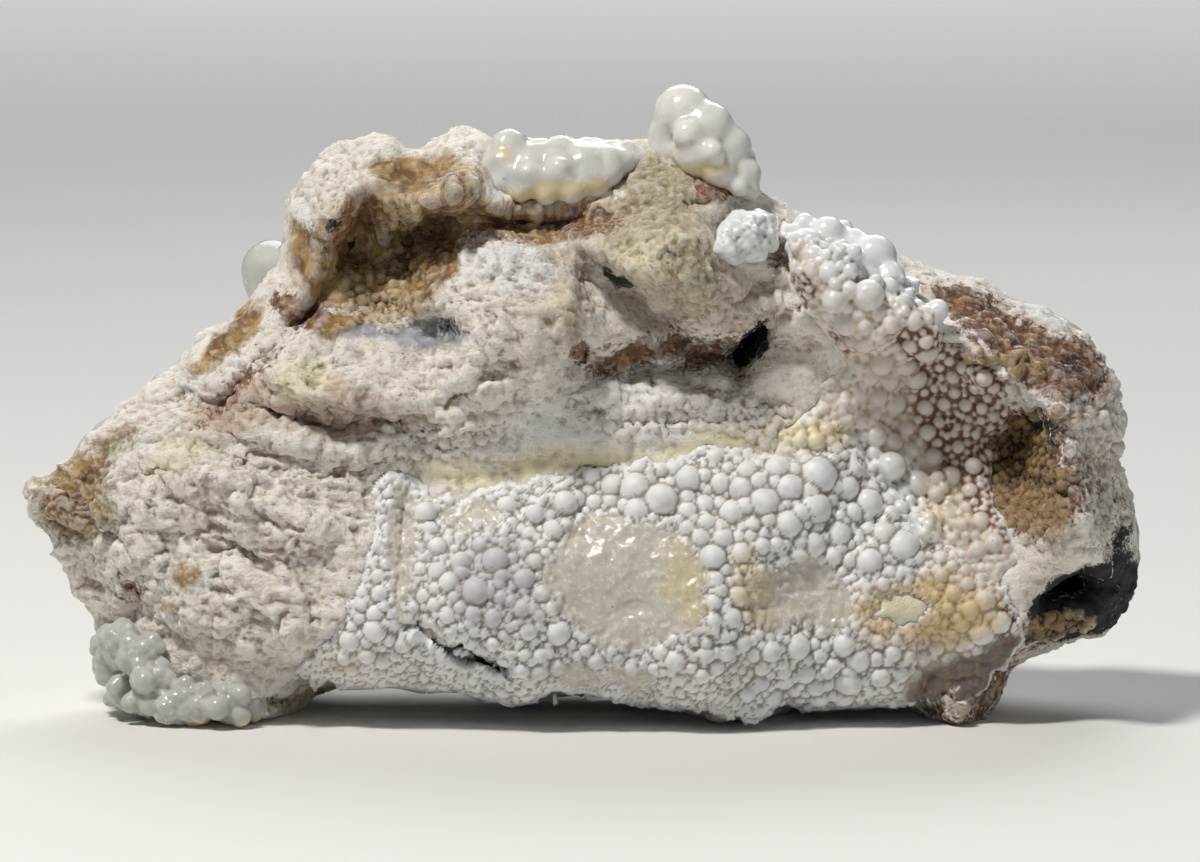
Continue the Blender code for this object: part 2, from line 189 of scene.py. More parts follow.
# above 0 inside the closed outline, below 0 outside it
def signedDistance(flat, outline):
    distance, _ = outlineDistance(flat, outline)
    crossed = np.zeros(len(flat), bool)
    for (x1, y1), (x2, y2) in zip(outline, np.roll(outline, -1, axis=0)):
        if y1 != y2:
            spans = (y1 > flat[:, 1]) != (y2 > flat[:, 1])
            crossed ^= spans & (flat[:, 0] < (x2 - x1) * (flat[:, 1] - y1) / (y2 - y1) + x1)
    return np.where(crossed, distance, -distance)


# meshes from arrays
def meshPoints(mesh):
    found = np.empty(len(mesh.vertices) * 3, np.float32)
    mesh.vertices.foreach_get("co", found)
    return found.reshape(-1, 3).astype(float)


def meshQuads(mesh):
    totals = np.empty(len(mesh.polygons), np.int32)
    mesh.polygons.foreach_get("loop_total", totals)
    corners = np.empty(len(mesh.loops), np.int32)
    mesh.loops.foreach_get("vertex_index", corners)
    starts = np.empty(len(mesh.polygons), np.int32)
    mesh.polygons.foreach_get("loop_start", starts)
    last = np.where(totals == 4, 3, 2)
    return np.column_stack([corners[starts + np.minimum(k, last)] for k in range(4)]).astype(np.int64)


def meshFrom(name, points, quads):
    faces = [q if q[2] != q[3] else q[:3] for q in quads.tolist()]
    mesh = bpy.data.meshes.new(name)
    mesh.from_pydata(points.tolist(), [], faces)
    mesh.validate()
    return mesh


def normalsOf(points, quads):
    across = np.cross(points[quads[:, 2]] - points[quads[:, 0]], points[quads[:, 3]] - points[quads[:, 1]])
    normals = np.zeros_like(points)
    for k in range(4):
        for axis in range(3):
            normals[:, axis] += np.bincount(quads[:, k], across[:, axis], len(points))
    return normals / np.maximum(np.linalg.norm(normals, axis=1), 1e-15)[:, None]


# each value becomes the mean of its neighbours, as often as asked
def relaxed(values, quads, rounds):
    flat = values.reshape(len(values), -1).copy()
    count = np.zeros(len(values))
    for k in range(4):
        count += 2 * np.bincount(quads[:, k], minlength=len(values))
    for _ in range(rounds):
        total = np.zeros_like(flat)
        for k in range(4):
            around = flat[quads[:, (k + 1) % 4]] + flat[quads[:, (k + 3) % 4]]
            for axis in range(flat.shape[1]):
                total[:, axis] += np.bincount(quads[:, k], around[:, axis], len(values))
        flat = np.where(count[:, None] > 0, total / np.maximum(count, 1)[:, None], flat)
    return flat.reshape(values.shape)


def softNormals(points, quads, rounds):
    normals = relaxed(normalsOf(points, quads), quads, rounds)
    return normals / np.maximum(np.linalg.norm(normals, axis=1), 1e-15)[:, None]


# above 0 in hollows, below 0 on crowns, in metres
def sunkenness(points, quads, rounds):
    return np.einsum("ij,ij->i", relaxed(points, quads, rounds) - points, normalsOf(points, quads))


# the chosen quads split in four, and their neighbours in fans that meet the new points
def refined(points, quads, chosen):
    count = len(points)
    following = np.roll(quads, -1, axis=1)
    key = np.minimum(quads, following) * count + np.maximum(quads, following)
    cuts = np.unique(key[chosen])
    middles = (points[cuts // count] + points[cuts % count]) / 2
    place = np.searchsorted(cuts, key)
    place[place == len(cuts)] = 0
    isCut = cuts[place] == key
    middle = count + place
    split = quads[chosen]
    centre = count + len(cuts) + np.arange(len(split))
    centres = points[split].mean(axis=1)
    m = middle[chosen]
    parts = [np.column_stack([split[:, k], m[:, k], centre, m[:, (k + 3) % 4]]) for k in range(4)]
    plain = quads[~chosen & ~isCut.any(axis=1)]
    fans = []
    for i in np.flatnonzero(~chosen & isCut.any(axis=1)):
        ring = []
        for k in range(4):
            ring.append(quads[i, k])
            if isCut[i, k]:
                ring.append(middle[i, k])
        first = next(j for j, corner in enumerate(ring) if corner >= count)
        ring = ring[first:] + ring[:first]
        fans += [(ring[0], ring[j], ring[j + 1], ring[j + 1]) for j in range(1, len(ring) - 1)]
    fans = np.array(fans, dtype=np.int64).reshape(-1, 4)
    return np.vstack([points, middles, centres]), np.vstack([*parts, plain, fans])


def pieceFrom(name, points, quads, material, masks):
    mesh = meshFrom(name, points, quads)
    for maskName, values in masks.items():
        attribute = mesh.attributes.new(maskName, "FLOAT", "POINT")
        attribute.data.foreach_set("value", np.clip(values, 0, 1).astype(np.float32))
    mesh.polygons.foreach_set("use_smooth", [True] * len(mesh.polygons))
    mesh.materials.append(material)
    piece = bpy.data.objects.new(name, mesh)
    bpy.context.scene.collection.objects.link(piece)
    print(name, len(mesh.polygons), "faces")
    return piece


def settle(piece, node):
    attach(piece, "root")
    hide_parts(node)


def applied(piece):
    graph = bpy.context.evaluated_depsgraph_get()
    mesh = bpy.data.meshes.new_from_object(piece.evaluated_get(graph))
    bpy.data.objects.remove(piece)
    return mesh


# thinned to a number of triangles, most where the surface is plain
def thinned(piece, most):
    name = piece.name
    piece.data.calc_loop_triangles()
    thinning = piece.modifiers.new("thinning", "DECIMATE")
    thinning.ratio = min(most / len(piece.data.loop_triangles), 1)
    mesh = applied(piece)
    points = meshPoints(mesh)
    points[:, 2] = np.maximum(points[:, 2], 0)
    mesh.vertices.foreach_set("co", points.astype(np.float32).ravel())
    lighter = bpy.data.objects.new(name, mesh)
    bpy.context.scene.collection.objects.link(lighter)
    print(name, "thinned to", len(mesh.polygons), "faces")
    return lighter


def evenMesh(mesh, voxel):
    body = bpy.data.objects.new("body", mesh)
    bpy.context.scene.collection.objects.link(body)
    fuse = body.modifiers.new("fuse", "REMESH")
    fuse.mode = "VOXEL"
    fuse.voxel_size = voxel
    even = applied(body)
    return meshPoints(even), meshQuads(even)


def evenSlab(outline, halfThickness, voxel):
    curve = bpy.data.curves.new("slab", "CURVE")
    curve.dimensions = "2D"
    curve.fill_mode = "BOTH"
    curve.extrude = halfThickness
    spline = curve.splines.new("POLY")
    spline.points.add(len(outline) - 1)
    for point, (x, z) in zip(spline.points, outline):
        point.co = (x, z, 0, 1)
    spline.use_cyclic_u = True
    flat = bpy.data.objects.new("slab", curve)
    bpy.context.scene.collection.objects.link(flat)
    mesh = applied(flat)
    points = meshPoints(mesh)
    turned = np.column_stack([points[:, 0], -points[:, 2], points[:, 1]])
    mesh.vertices.foreach_set("co", turned.astype(np.float32).ravel())
    shape = bmesh.new()
    shape.from_mesh(mesh)
    bmesh.ops.remove_doubles(shape, verts=shape.verts, dist=0.00001)
    shape.to_mesh(mesh)
    shape.free()
    return evenMesh(mesh, voxel)


def unitBall(subdivisions):
    shape = bmesh.new()
    bmesh.ops.create_icosphere(shape, subdivisions=subdivisions, radius=1.0)
    mesh = bpy.data.meshes.new("ball")
    shape.to_mesh(mesh)
    shape.free()
    return meshPoints(mesh), meshQuads(mesh)


# balls, and a shell where one is given, melted into one closed body
def fusedBalls(balls, voxel, rounds, shell=None, subdivisions=3):
    ballPoints, ballFaces = unitBall(subdivisions)
    points = [ballPoints * radius + (x, y, z) for x, y, z, radius in balls]
    quads = [ballFaces + k * len(ballPoints) for k in range(len(balls))]
    if shell:
        points.append(shell[0])
        quads.append(shell[1] + len(balls) * len(ballPoints))
    points, quads = evenMesh(meshFrom("balls", np.vstack(points), np.vstack(quads)), voxel)
    return relaxed(points, quads, rounds), quads


# the kept part of a surface, lifted outside and sunk inside, closed by walls
def shellOver(points, quads, normals, keep, outerLift, sink):
    faces = quads[keep[quads].all(axis=1)]
    used = np.unique(faces)
    renumber = np.full(len(points), -1)
    renumber[used] = np.arange(len(used))
    faces = renumber[faces]
    outer = points[used] + normals[used] * outerLift[used][:, None]
    inner = points[used] - normals[used] * sink
    sides = np.vstack([faces[:, [k, (k + 1) % 4]] for k in range(4)])
    sides = sides[sides[:, 0] != sides[:, 1]]
    count = len(used)
    forward = sides[:, 0] * count + sides[:, 1]
    border = sides[~np.isin(forward, sides[:, 1] * count + sides[:, 0])]
    walls = np.column_stack([border[:, 1], border[:, 0], border[:, 0] + count, border[:, 1] + count])
    return np.vstack([outer, inner]), np.vstack([faces, faces[:, ::-1] + count, walls])


def placeTree(points):
    tree = KDTree(len(points))
    for i, place in enumerate(points.tolist()):
        tree.insert(place, i)
    tree.balance()
    return tree


# places for domes, none nearer to another than its size and the tightness allow
def scatterDomes(tree, points, normals, radius, chosen, tightness, random, taken=(), spread=(0.65, 1.4)):
    free = chosen.copy()
    for place, size in taken:
        for _, i, _ in tree.find_range(place, tightness * size):
            free[i] = False
    domes = []
    order = random.permutation(np.flatnonzero(free))
    for i, size in zip(order, random.uniform(*spread, len(order))):
        if free[i]:
            domes.append((points[i], normals[i], radius[i] * size))
            for _, j, _ in tree.find_range(points[i], 2 * tightness * radius[i] * size):
                free[j] = False
    return domes


# three sizes of domes, the smaller ones in the gaps that the larger ones leave
def packedDomes(tree, points, normals, radius, chosen, tightness, random):
    domes = []
    for scale in (1.0, 0.62, 0.38):
        taken = [(place, 1.1 * r) for place, _, r in domes]
        domes += scatterDomes(tree, points, normals, radius * scale, chosen, tightness, random, taken)
    return domes


# how far domes lift a surface along its normals
def liftOverDomes(tree, points, normals, domes, rise):
    lift = np.zeros(len(points))
    for place, direction, r in domes:
        centre = place + direction * r * rise
        found = tree.find_range(centre, r * 1.3)
        if not found:
            continue
        index = np.array([i for _, i, _ in found])
        away = centre - points[index]
        along = np.einsum("ij,ij->i", away, normals[index])
        inside = r * r - (np.einsum("ij,ij->i", away, away) - along**2)
        reach = np.where(inside < 0, 0, along + np.sqrt(np.maximum(inside, 0)))
        lift[index] = np.maximum(lift[index], reach)
    return lift


# node helpers
def newMaterial(name):
    material = bpy.data.materials.new(name)
    material.use_nodes = True
    tree = material.node_tree
    return material, tree, tree.nodes["Principled BSDF"]


def addNode(tree, kind, values=None, **settings):
    node = tree.nodes.new(kind)
    for key, value in settings.items():
        setattr(node, key, value)
    for key, value in (values or {}).items():
        if isinstance(value, bpy.types.NodeSocket):
            tree.links.new(value, node.inputs[key])
        else:
            node.inputs[key].default_value = value
    return node


def mixed(tree, factor, low, high):
    node = addNode(tree, "ShaderNodeMix", data_type="RGBA")
    for socket, value in ((node.inputs[0], factor), (node.inputs[6], low), (node.inputs[7], high)):
        if isinstance(value, bpy.types.NodeSocket):
            tree.links.new(value, socket)
        elif socket.type == "RGBA":
            socket.default_value = (*value, 1.0)
        else:
            socket.default_value = value
    return node.outputs[2]


def maths(tree, operation, first, second=0.0, third=0.0):
    node = addNode(tree, "ShaderNodeMath", {0: first, 1: second, 2: third}, operation=operation)
    return node.outputs[0]


def eased(tree, value, low, high, toLow=0.0, toHigh=1.0):
    node = addNode(tree, "ShaderNodeMapRange", {
        "Value": value, "From Min": low, "From Max": high, "To Min": toLow, "To Max": toHigh,
    }, interpolation_type="SMOOTHSTEP")
    return node.outputs[0]


def mask(tree, name):
    return addNode(tree, "ShaderNodeAttribute", attribute_name=name).outputs["Fac"]


def grain(tree, size, detail=3.0, rough=0.55, stretch=None, turn=0.0):
    place = addNode(tree, "ShaderNodeTexCoord").outputs["Object"]
    if stretch:
        turned = addNode(tree, "ShaderNodeMapping", {"Vector": place, "Rotation": (0, math.radians(turn), 0)})
        place = addNode(tree, "ShaderNodeMapping", {"Vector": turned.outputs[0], "Scale": stretch}).outputs[0]
    node = addNode(tree, "ShaderNodeTexNoise", {
        "Vector": place, "Scale": 1 / size, "Detail": detail, "Roughness": rough,
    })
    return node.outputs["Fac"]


def crumbs(tree, size):
    place = addNode(tree, "ShaderNodeTexCoord").outputs["Object"]
    return addNode(tree, "ShaderNodeTexVoronoi", {"Vector": place, "Scale": 1 / size}).outputs["Distance"]


# a patch whose edge is broken up by noise
def brokenMask(tree, name, size, swing=0.8, low=0.3, high=0.6):
    ragged = maths(tree, "MULTIPLY_ADD", grain(tree, size, 4.0, 0.65), swing, -swing / 2)
    return eased(tree, maths(tree, "ADD", mask(tree, name), ragged), low, high)


def bumped(tree, height, strength, distance, below=None):
    values = {"Height": height, "Strength": strength, "Distance": distance}
    if below is not None:
        values["Normal"] = below
    return addNode(tree, "ShaderNodeBump", values).outputs[0]


# the stone's form
stoneForm = {
    "height": 50 * mm,
    "frontAtBase": 12.5 * mm, "frontAtSummit": 6.0 * mm,
    "backAtBase": 14.5 * mm, "backAtSummit": 6.5 * mm,
    "leftPointX": -45 * mm, "leftPointReach": 26 * mm, "leftPointShare": 0.5,
    "frontEdgeRadius": 5.0 * mm, "backEdgeRadius": 13.0 * mm,
    "frontRimShare": 0.45, "backRimShare": 0.42,
    "rimInset": 2.2 * mm, "rimInsetReach": 7.0 * mm,
    "slabHalf": 4.0 * mm,
    "unevenness": 0.8 * mm, "unevenLength": 9 * mm,
    "crustBorder": 0.35 * mm,
    "voxel": 0.41 * mm, "mostTriangles": 196000,
    "mapStep": 0.2 * mm, "mapMargin": 3 * mm, "slopeSpan": 3,
}

stoneOutline = [
    (19, 484), (48, 474), (66, 462), (76, 442), (92, 428), (110, 414), (128, 398), (150, 382),
    (172, 371), (184, 349), (214, 327), (238, 309), (256, 292), (274, 270), (283, 240), (285, 200),
    (297, 190), (301, 174), (322, 155), (340, 143), (364, 135), (389, 133), (405, 144), (418, 146),
    (430, 138), (454, 126), (466, 131), (480, 128), (496, 140), (520, 158), (560, 163), (600, 156),
    (630, 142), (650, 140), (690, 146), (722, 152), (742, 170), (756, 190), (780, 208), (812, 218),
    (850, 226), (880, 244), (911, 263), (945, 273), (979, 279), (1010, 296), (1052, 314), (1084, 332),
    (1100, 350), (1110, 372), (1114, 404), (1116, 440), (1124, 470), (1134, 498), (1141, 530),
    (1141, 566), (1137, 594), (1124, 612), (1106, 632), (1079, 634), (1046, 650), (1020, 662),
    (1004, 690), (996, 742), (928, 742), (908, 704), (880, 700), (800, 704), (776, 742),
    (700, 742), (672, 702), (600, 694), (545, 698), (500, 698), (460, 684), (400, 682), (340, 682),
    (308, 696), (284, 742), (146, 742), (124, 708), (104, 676), (90, 640), (84, 612), (64, 586),
    (54, 558), (38, 530), (24, 504),
]

# x, y, half widths, tilt, millimetres out of the face
frontRelief = {
    "upperLeftHollow": (364, 246, 72, 74, 0, -8.5),
    "hollowUpperPocket": (336, 232, 22, 30, 0, -2.5),
    "hollowRightPocket": (412, 236, 24, 50, 8, -3.6),
    "hollowDrip": (388, 226, 10, 34, 6, 1.8),
    "hollowShelf": (380, 290, 44, 12, 4, 2.2),
    "brownCorner": (288, 298, 22, 20, 0, -3.0),
    "greyNiche": (448, 314, 22, 20, 0, -3.5),
    "nicheDome": (450, 314, 9, 9, 0, 1.6),
    "recessUnderLedge": (515, 214, 92, 22, -8, -4.4),
    "amberDepth": (446, 212, 20, 34, 10, -3.5),
    "ledgeShoulder": (456, 160, 32, 26, 0, 3.6),
    "upperLeftRim": (312, 178, 42, 18, -42, 1.5),
    "fracturedBlock": (658, 246, 66, 38, 32, 3.6),
    "blockUndercut": (640, 300, 62, 13, 38, -3.0),
    "blockStep": (622, 226, 24, 12, 40, -1.2),
    "summit": (700, 160, 46, 30, 0, 1.5),
    "summitHole": (712, 185, 19, 11, 0, -5.5),
    "whiteLumps": (742, 230, 30, 20, 0, 2.0),
    "rightShoulder": (858, 280, 84, 40, 30, 3.0),
    "darkCrevice": (690, 350, 100, 22, -8, -4.4),
    "creviceRib": (660, 346, 44, 7, -14, 2.4), "creviceLump": (716, 362, 20, 8, 0, 1.8),
    "darkSlot": (756, 336, 12, 38, 22, -7.0),
    "shelf": (690, 398, 92, 13, 0, -1.2),
    "chalkyMiddle": (520, 318, 62, 78, 30, 2.5),
    "middleGroove": (470, 370, 80, 9, -24, -1.4),
    "yellowTrough": (600, 446, 165, 14, -6, -0.4),
    "lowerBulge": (600, 585, 250, 95, 0, 3.5),
    "leftWindow": (404, 520, 13, 56, 8, -0.6),
    "middleWindow": (630, 562, 66, 50, 0, -0.7),
    "rightWindow": (790, 570, 46, 36, 20, -0.7),
    "valley": (925, 430, 92, 96, -30, -5.0),
    "brownPocket": (1028, 446, 34, 42, 0, -5.5),
    "rightRidge": (1082, 470, 46, 104, 8, 2.5),
    "darkCavity": (1088, 588, 38, 27, 0, -10.0),
    "rightFoot": (960, 660, 62, 40, 0, -2.5),
    "leftField": (200, 520, 130, 84, 0, 2.0),
    "leftGroove": (250, 350, 62, 13, -42, -2.2),
    "upperBedding": (340, 376, 110, 13, 8, 1.6),
    "beddingGroove": (330, 408, 90, 7, 8, -1.5),
    "lowerBedding": (230, 470, 120, 14, 20, 1.6),
    "middleBedding": (300, 438, 110, 9, 12, -1.2),
    "leftPointHollow": (96, 520, 34, 22, 30, -1.8),
    "leftChip": (132, 600, 26, 18, -20, -2.0),
    "footGroove": (300, 668, 48, 16, 10, -2.0),
    "amberHole": (580, 343, 12, 8, 0, -4.5),
    "bandHump": (985, 315, 60, 22, 24, 1.0),
    "bandRidge": (1050, 385, 46, 10, 10, 1.8),
    "fissure": (462, 630, 62, 4, 24, -2.2),
}

# plates of rock that end in a broken edge: outline, width of the edge in pixels, millimetres out of the face
frontPlates = {
    "block": ([(572, 214), (600, 198), (640, 192), (690, 204), (716, 226), (738, 262), (716, 298),
               (672, 286), (636, 264), (600, 242)], 8, 2.0),
    "hollowRim": ([(294, 190), (318, 150), (350, 134), (404, 138), (428, 170), (424, 192), (394, 182),
                   (352, 180), (326, 202), (310, 240), (300, 262), (284, 256), (284, 205)], 8, 1.8),
    "beddingTop": ([(250, 356), (296, 336), (330, 350), (400, 362), (470, 350), (500, 372), (440, 398),
                    (360, 390), (280, 386)], 6, 1.1),
    "beddingMiddle": ([(196, 420), (260, 402), (330, 420), (390, 432), (360, 452), (280, 446),
                       (210, 440)], 5, 0.9),
    "beddingLow": ([(120, 470), (200, 462), (280, 486), (340, 510), (300, 530), (210, 512),
                    (130, 500)], 6, 0.9),
    "leftSlab": ([(60, 480), (120, 512), (150, 560), (140, 610), (90, 560)], 7, -0.9),
    "fieldFlake": ([(170, 560), (240, 548), (300, 570), (310, 620), (250, 640), (180, 616)], 6, 0.8),
    "band": ([(905, 262), (980, 276), (1050, 308), (1104, 344), (1110, 384), (1064, 400), (1020, 372),
              (966, 336), (926, 308)], 7, 1.3),
    "ridge": ([(1040, 404), (1104, 396), (1124, 440), (1138, 520), (1140, 566), (1104, 556), (1066, 540),
               (1050, 480)], 8, 1.3),
    "creviceLip": ([(596, 376), (660, 368), (736, 384), (774, 404), (700, 404), (620, 398)], 5, 0.9),
    "creviceBrow": ([(700, 296), (760, 280), (800, 296), (806, 318), (772, 322), (742, 334),
                     (700, 326)], 6, 1.4),
    "chalkyBoss": ([(430, 250), (500, 226), (560, 250), (592, 300), (560, 352), (500, 380), (440, 360),
                    (420, 300)], 10, 1.0),
    "waxyBoss": ([(520, 290), (560, 280), (570, 330), (550, 370), (524, 340)], 12, 1.2),
}

# where each kind of rock shows
rockRegions = {
    "chalk": [(190, 520, 170, 130, 10, 1.0), (330, 420, 130, 80, 8, 1.0), (500, 300, 90, 100, 0, 1.0),
              (300, 620, 90, 40, 0, 0.8), (1090, 470, 44, 80, 8, 1.0), (740, 300, 60, 26, -10, 0.8),
              (310, 176, 60, 24, -40, 0.9), (70, 500, 60, 40, 0, 0.8), (620, 390, 70, 16, 0, 0.6)],
    "sugar": [(655, 236, 84, 50, 28, 1.2), (650, 170, 60, 30, 10, 1.0), (700, 300, 60, 18, -10, 0.5),
              (552, 300, 34, 50, 0, 0.6)],
    "glassy": [(366, 240, 66, 62, 0, 1.1), (456, 160, 44, 34, 0, 1.0), (515, 208, 96, 22, -8, 0.6),
               (436, 312, 40, 24, 0, 1.0), (600, 446, 190, 20, -6, 1.0), (622, 566, 84, 64, 0, 1.0),
               (404, 520, 22, 74, 6, 1.0), (796, 570, 66, 50, 20, 1.0), (182, 555, 24, 20, 0, 0.8),
               (250, 290, 30, 40, -30, 0.5), (552, 320, 22, 60, 10, 0.7), (560, 176, 100, 16, 0, 0.8)],
    "scabby": [(1000, 330, 110, 40, 26, 1.0), (1075, 360, 44, 44, 20, 1.0), (1018, 455, 44, 50, 0, 0.7),
               (1095, 590, 60, 50, 0, 0.8), (1050, 620, 50, 22, 0, 0.7), (690, 352, 110, 24, -8, 1.0),
               (780, 250, 20, 50, 0, 0.6)],
}

# closed outlines of the crusts
crustOutlines = {
    "lowerField": [
        (380, 462), (404, 456), (430, 476), (462, 486), (520, 472), (580, 456), (640, 444), (700, 438),
        (760, 436), (806, 440), (850, 432), (884, 462), (902, 498), (934, 520), (966, 540), (992, 566),
        (1012, 590), (1020, 620), (1004, 650), (988, 674), (962, 690), (900, 696), (840, 698), (780, 698),
        (740, 706), (700, 700), (650, 692), (600, 690), (540, 694), (500, 694), (470, 684), (440, 680),
        (400, 678), (370, 686), (340, 680), (314, 674), (300, 652), (322, 622), (346, 594), (364, 556),
        (372, 515),
    ],
    "valley": [
        (776, 216), (796, 211), (826, 213), (856, 222), (884, 240), (912, 262), (926, 272), (922, 290),
        (944, 318), (972, 338), (1000, 350), (1014, 368), (1006, 400), (996, 440), (994, 480), (1012, 512),
        (1012, 552), (990, 572), (960, 548), (928, 528), (896, 506), (876, 470), (846, 444), (800, 448),
        (768, 440), (782, 416), (816, 392), (838, 358), (828, 326), (806, 296), (792, 270), (784, 244),
    ],
    "whiteLumps": [
        (708, 214), (722, 204), (746, 200), (768, 206), (776, 224), (770, 244), (750, 250), (724, 248),
        (710, 236),
    ],
}
# glassy windows where the domes fade out, and gaps where the crust is broken through
windowOutlines = [
    [(400, 470), (412, 474), (418, 500), (416, 540), (410, 575), (402, 592), (396, 560), (396, 520)],
    [(556, 530), (584, 508), (610, 500), (646, 508), (668, 520), (684, 516), (700, 544), (706, 584),
     (690, 602), (664, 610), (634, 622), (600, 622), (574, 604), (548, 584), (544, 556)],
    [(744, 552), (776, 540), (800, 546), (820, 552), (834, 572), (846, 596), (820, 606), (790, 602),
     (768, 610), (752, 590)],
    [(566, 650), (590, 644), (604, 656), (590, 666), (566, 664)],
    [(610, 652), (640, 646), (656, 658), (630, 666)],
    [(452, 500), (476, 492), (500, 498), (486, 510), (456, 510)],
]
gapOutlines = [
    [(426, 604), (446, 612), (476, 630), (512, 650), (504, 655), (464, 640), (430, 616)],
    [(548, 686), (560, 676), (590, 682), (584, 694), (556, 698)],
    [(880, 580), (904, 572), (920, 590), (900, 604), (882, 600)],
]


def metreOutline(corners):
    return np.column_stack(toPlane(*np.array(corners, float).T))


def edgeShare(depthIn, radius, rim):
    t = 1 - np.clip(depthIn / radius, 0, 1)
    return rim + (1 - rim) * np.sqrt(1 - t**2)


def plainDepths(flat, inside):
    form = stoneForm
    height = np.clip(flat[:, 1] / form["height"], 0, 1)
    reach = smoothStep((flat[:, 0] - form["leftPointX"]) / form["leftPointReach"])
    left = form["leftPointShare"] + (1 - form["leftPointShare"]) * reach
    front = (form["frontAtBase"] + (form["frontAtSummit"] - form["frontAtBase"]) * height) * left
    back = (form["backAtBase"] + (form["backAtSummit"] - form["backAtBase"]) * height) * left
    return front, back * edgeShare(inside, form["backEdgeRadius"], form["backRimShare"])


def makeFrontMap():
    form = stoneForm
    margin, step = Vector((form["mapMargin"],) * 3), form["mapStep"]
    low, high = cadLow - margin, cadHigh + margin
    xs = np.arange(low.x, high.x, step)
    zs = np.arange(low.z, high.z, step)
    gridX, gridZ = np.meshgrid(xs, zs)
    flat = np.column_stack([gridX.ravel(), gridZ.ravel()])
    inStone = signedDistance(flat, metreOutline(stoneOutline))
    inside = np.abs(inStone)
    front, _ = plainDepths(flat, inside)
    px, py = wanderingPixels(*pixelsOf(flat[:, 0], flat[:, 1]), 3)
    relief = patches(px, py, frontRelief.values())
    wandered = np.column_stack([px, py])
    for corners, edge, rise in frontPlates.values():
        within = signedDistance(wandered, np.array(corners, float))
        relief += rise * smoothBetween(within, -edge / 2, edge / 2)
    depth = front * edgeShare(inside, form["frontEdgeRadius"], form["frontRimShare"])
    depth += relief * mm * smoothStep(inside / (2 * mm))
    level = np.column_stack([flat[:, 0], np.zeros(len(flat)), flat[:, 1]])
    depth += form["unevenness"] * roughNoise(level, form["unevenLength"], 11, 3) - layout["depthShift"]
    px, py = wanderingPixels(*pixelsOf(flat[:, 0], flat[:, 1]), 71, 5.0, 6.5)
    wandered = np.column_stack([px, py])
    grid = {"x": xs, "z": zs, "y": -depth.reshape(gridX.shape)}
    windows = np.max([signedDistance(wandered, np.array(w, float)) for w in windowOutlines], axis=0)
    grid["window"] = windows.reshape(gridX.shape) * layout["pixel"]
    gaps = np.max([signedDistance(wandered, np.array(g, float)) for g in gapOutlines], axis=0)
    for name, corners in crustOutlines.items():
        cover = np.minimum(signedDistance(wandered, np.array(corners, float)), -gaps) * layout["pixel"]
        cover = np.minimum(cover, inStone - form["crustBorder"])
        grid[name] = cover.reshape(gridX.shape)
    span = form["slopeSpan"]
    for slope, axis in (("slopeX", 1), ("slopeZ", 0)):
        rise = np.roll(grid["y"], -span, axis) - np.roll(grid["y"], span, axis)
        grid[slope] = rise / (2 * span * step)
    return grid


def sampled(grid, field, x, z):
    u = np.clip((x - grid["x"][0]) / stoneForm["mapStep"], 0, len(grid["x"]) - 1.001)
    v = np.clip((z - grid["z"][0]) / stoneForm["mapStep"], 0, len(grid["z"]) - 1.001)
    i, j = u.astype(int), v.astype(int)
    fu, fv = u - i, v - j
    values = grid[field]
    return (
        values[j, i] * (1 - fu) * (1 - fv) + values[j, i + 1] * fu * (1 - fv)
        + values[j + 1, i] * (1 - fu) * fv + values[j + 1, i + 1] * fu * fv
    )


def frontPlace(grid, x, z):
    points = np.column_stack([x, sampled(grid, "y", x, z), z])
    slope = np.column_stack([sampled(grid, "slopeX", x, z), -np.ones(len(x)), sampled(grid, "slopeZ", x, z)])
    return points, slope / np.linalg.norm(slope, axis=1)[:, None]


print("front of the stone")
frontMap = makeFrontMap()


# a flat slab of the outline, drawn out to its front and back depths
def makeStone():
    form = stoneForm
    outline = metreOutline(stoneOutline)
    slab, quads = evenSlab(outline, form["slabHalf"], form["voxel"])
    flat = slab[:, [0, 2]]
    inside, outward = outlineDistance(flat, outline)
    through = np.clip(slab[:, 1] / form["slabHalf"], -1, 1)
    _, back = plainDepths(flat, inside)
    front = -sampled(frontMap, "y", flat[:, 0], flat[:, 1])
    share = (through + 1) / 2
    depth = -front * (1 - share) + (back + layout["depthShift"]) * share
    rim = 1 - smoothStep(inside / form["rimInsetReach"])
    inset = form["rimInset"] * (1 - np.sqrt(1 - through**2)) * rim
    points = np.column_stack([flat[:, 0] - outward[:, 0] * inset, depth, flat[:, 1] - outward[:, 1] * inset])
    points[:, 2] = np.maximum(points[:, 2], 0)
    return evenMesh(meshFrom("stone", points, quads), form["voxel"])


stonePoints, stoneQuads = makeStone()
print("stone body", len(stoneQuads), "faces")


# how far inside a crust's outline each place is
def coverOf(points):
    return np.max([sampled(frontMap, name, points[:, 0], points[:, 2]) for name in crustOutlines], axis=0)


def regionWeights(points, normals, regions, seed):
    px, py = wanderingPixels(*pixelsOf(points[:, 0], points[:, 2]), seed)
    facing = smoothBetween(-normals[:, 1], -0.25, 0.25)
    return {name: np.clip(patches(px, py, spots), 0, 1) * facing for name, spots in regions.items()}, facing


weather = {
    "chips": 0.50 * mm, "chipLength": 2.6 * mm,
    "smallChips": 0.17 * mm, "smallChipLength": 0.85 * mm,
    "beds": 0.24 * mm, "bedLength": 1.0 * mm, "bedTilt": 8,
    "crags": 0.26 * mm, "cragLength": 3.6 * mm,
    "drips": 0.7 * mm, "dripLength": 1.6 * mm, "dripsFrom": 28 * mm, "dripsFull": 33 * mm,
    "bend": 0.5 * mm, "bendLength": 2 * mm,
    "sugar": 0.14 * mm, "sugarLength": 0.6 * mm,
    "glassyLumps": 0.30 * mm, "scabs": 0.45 * mm, "lumpLength": 1.1 * mm,
    "underCrust": 0.25 * mm,
}


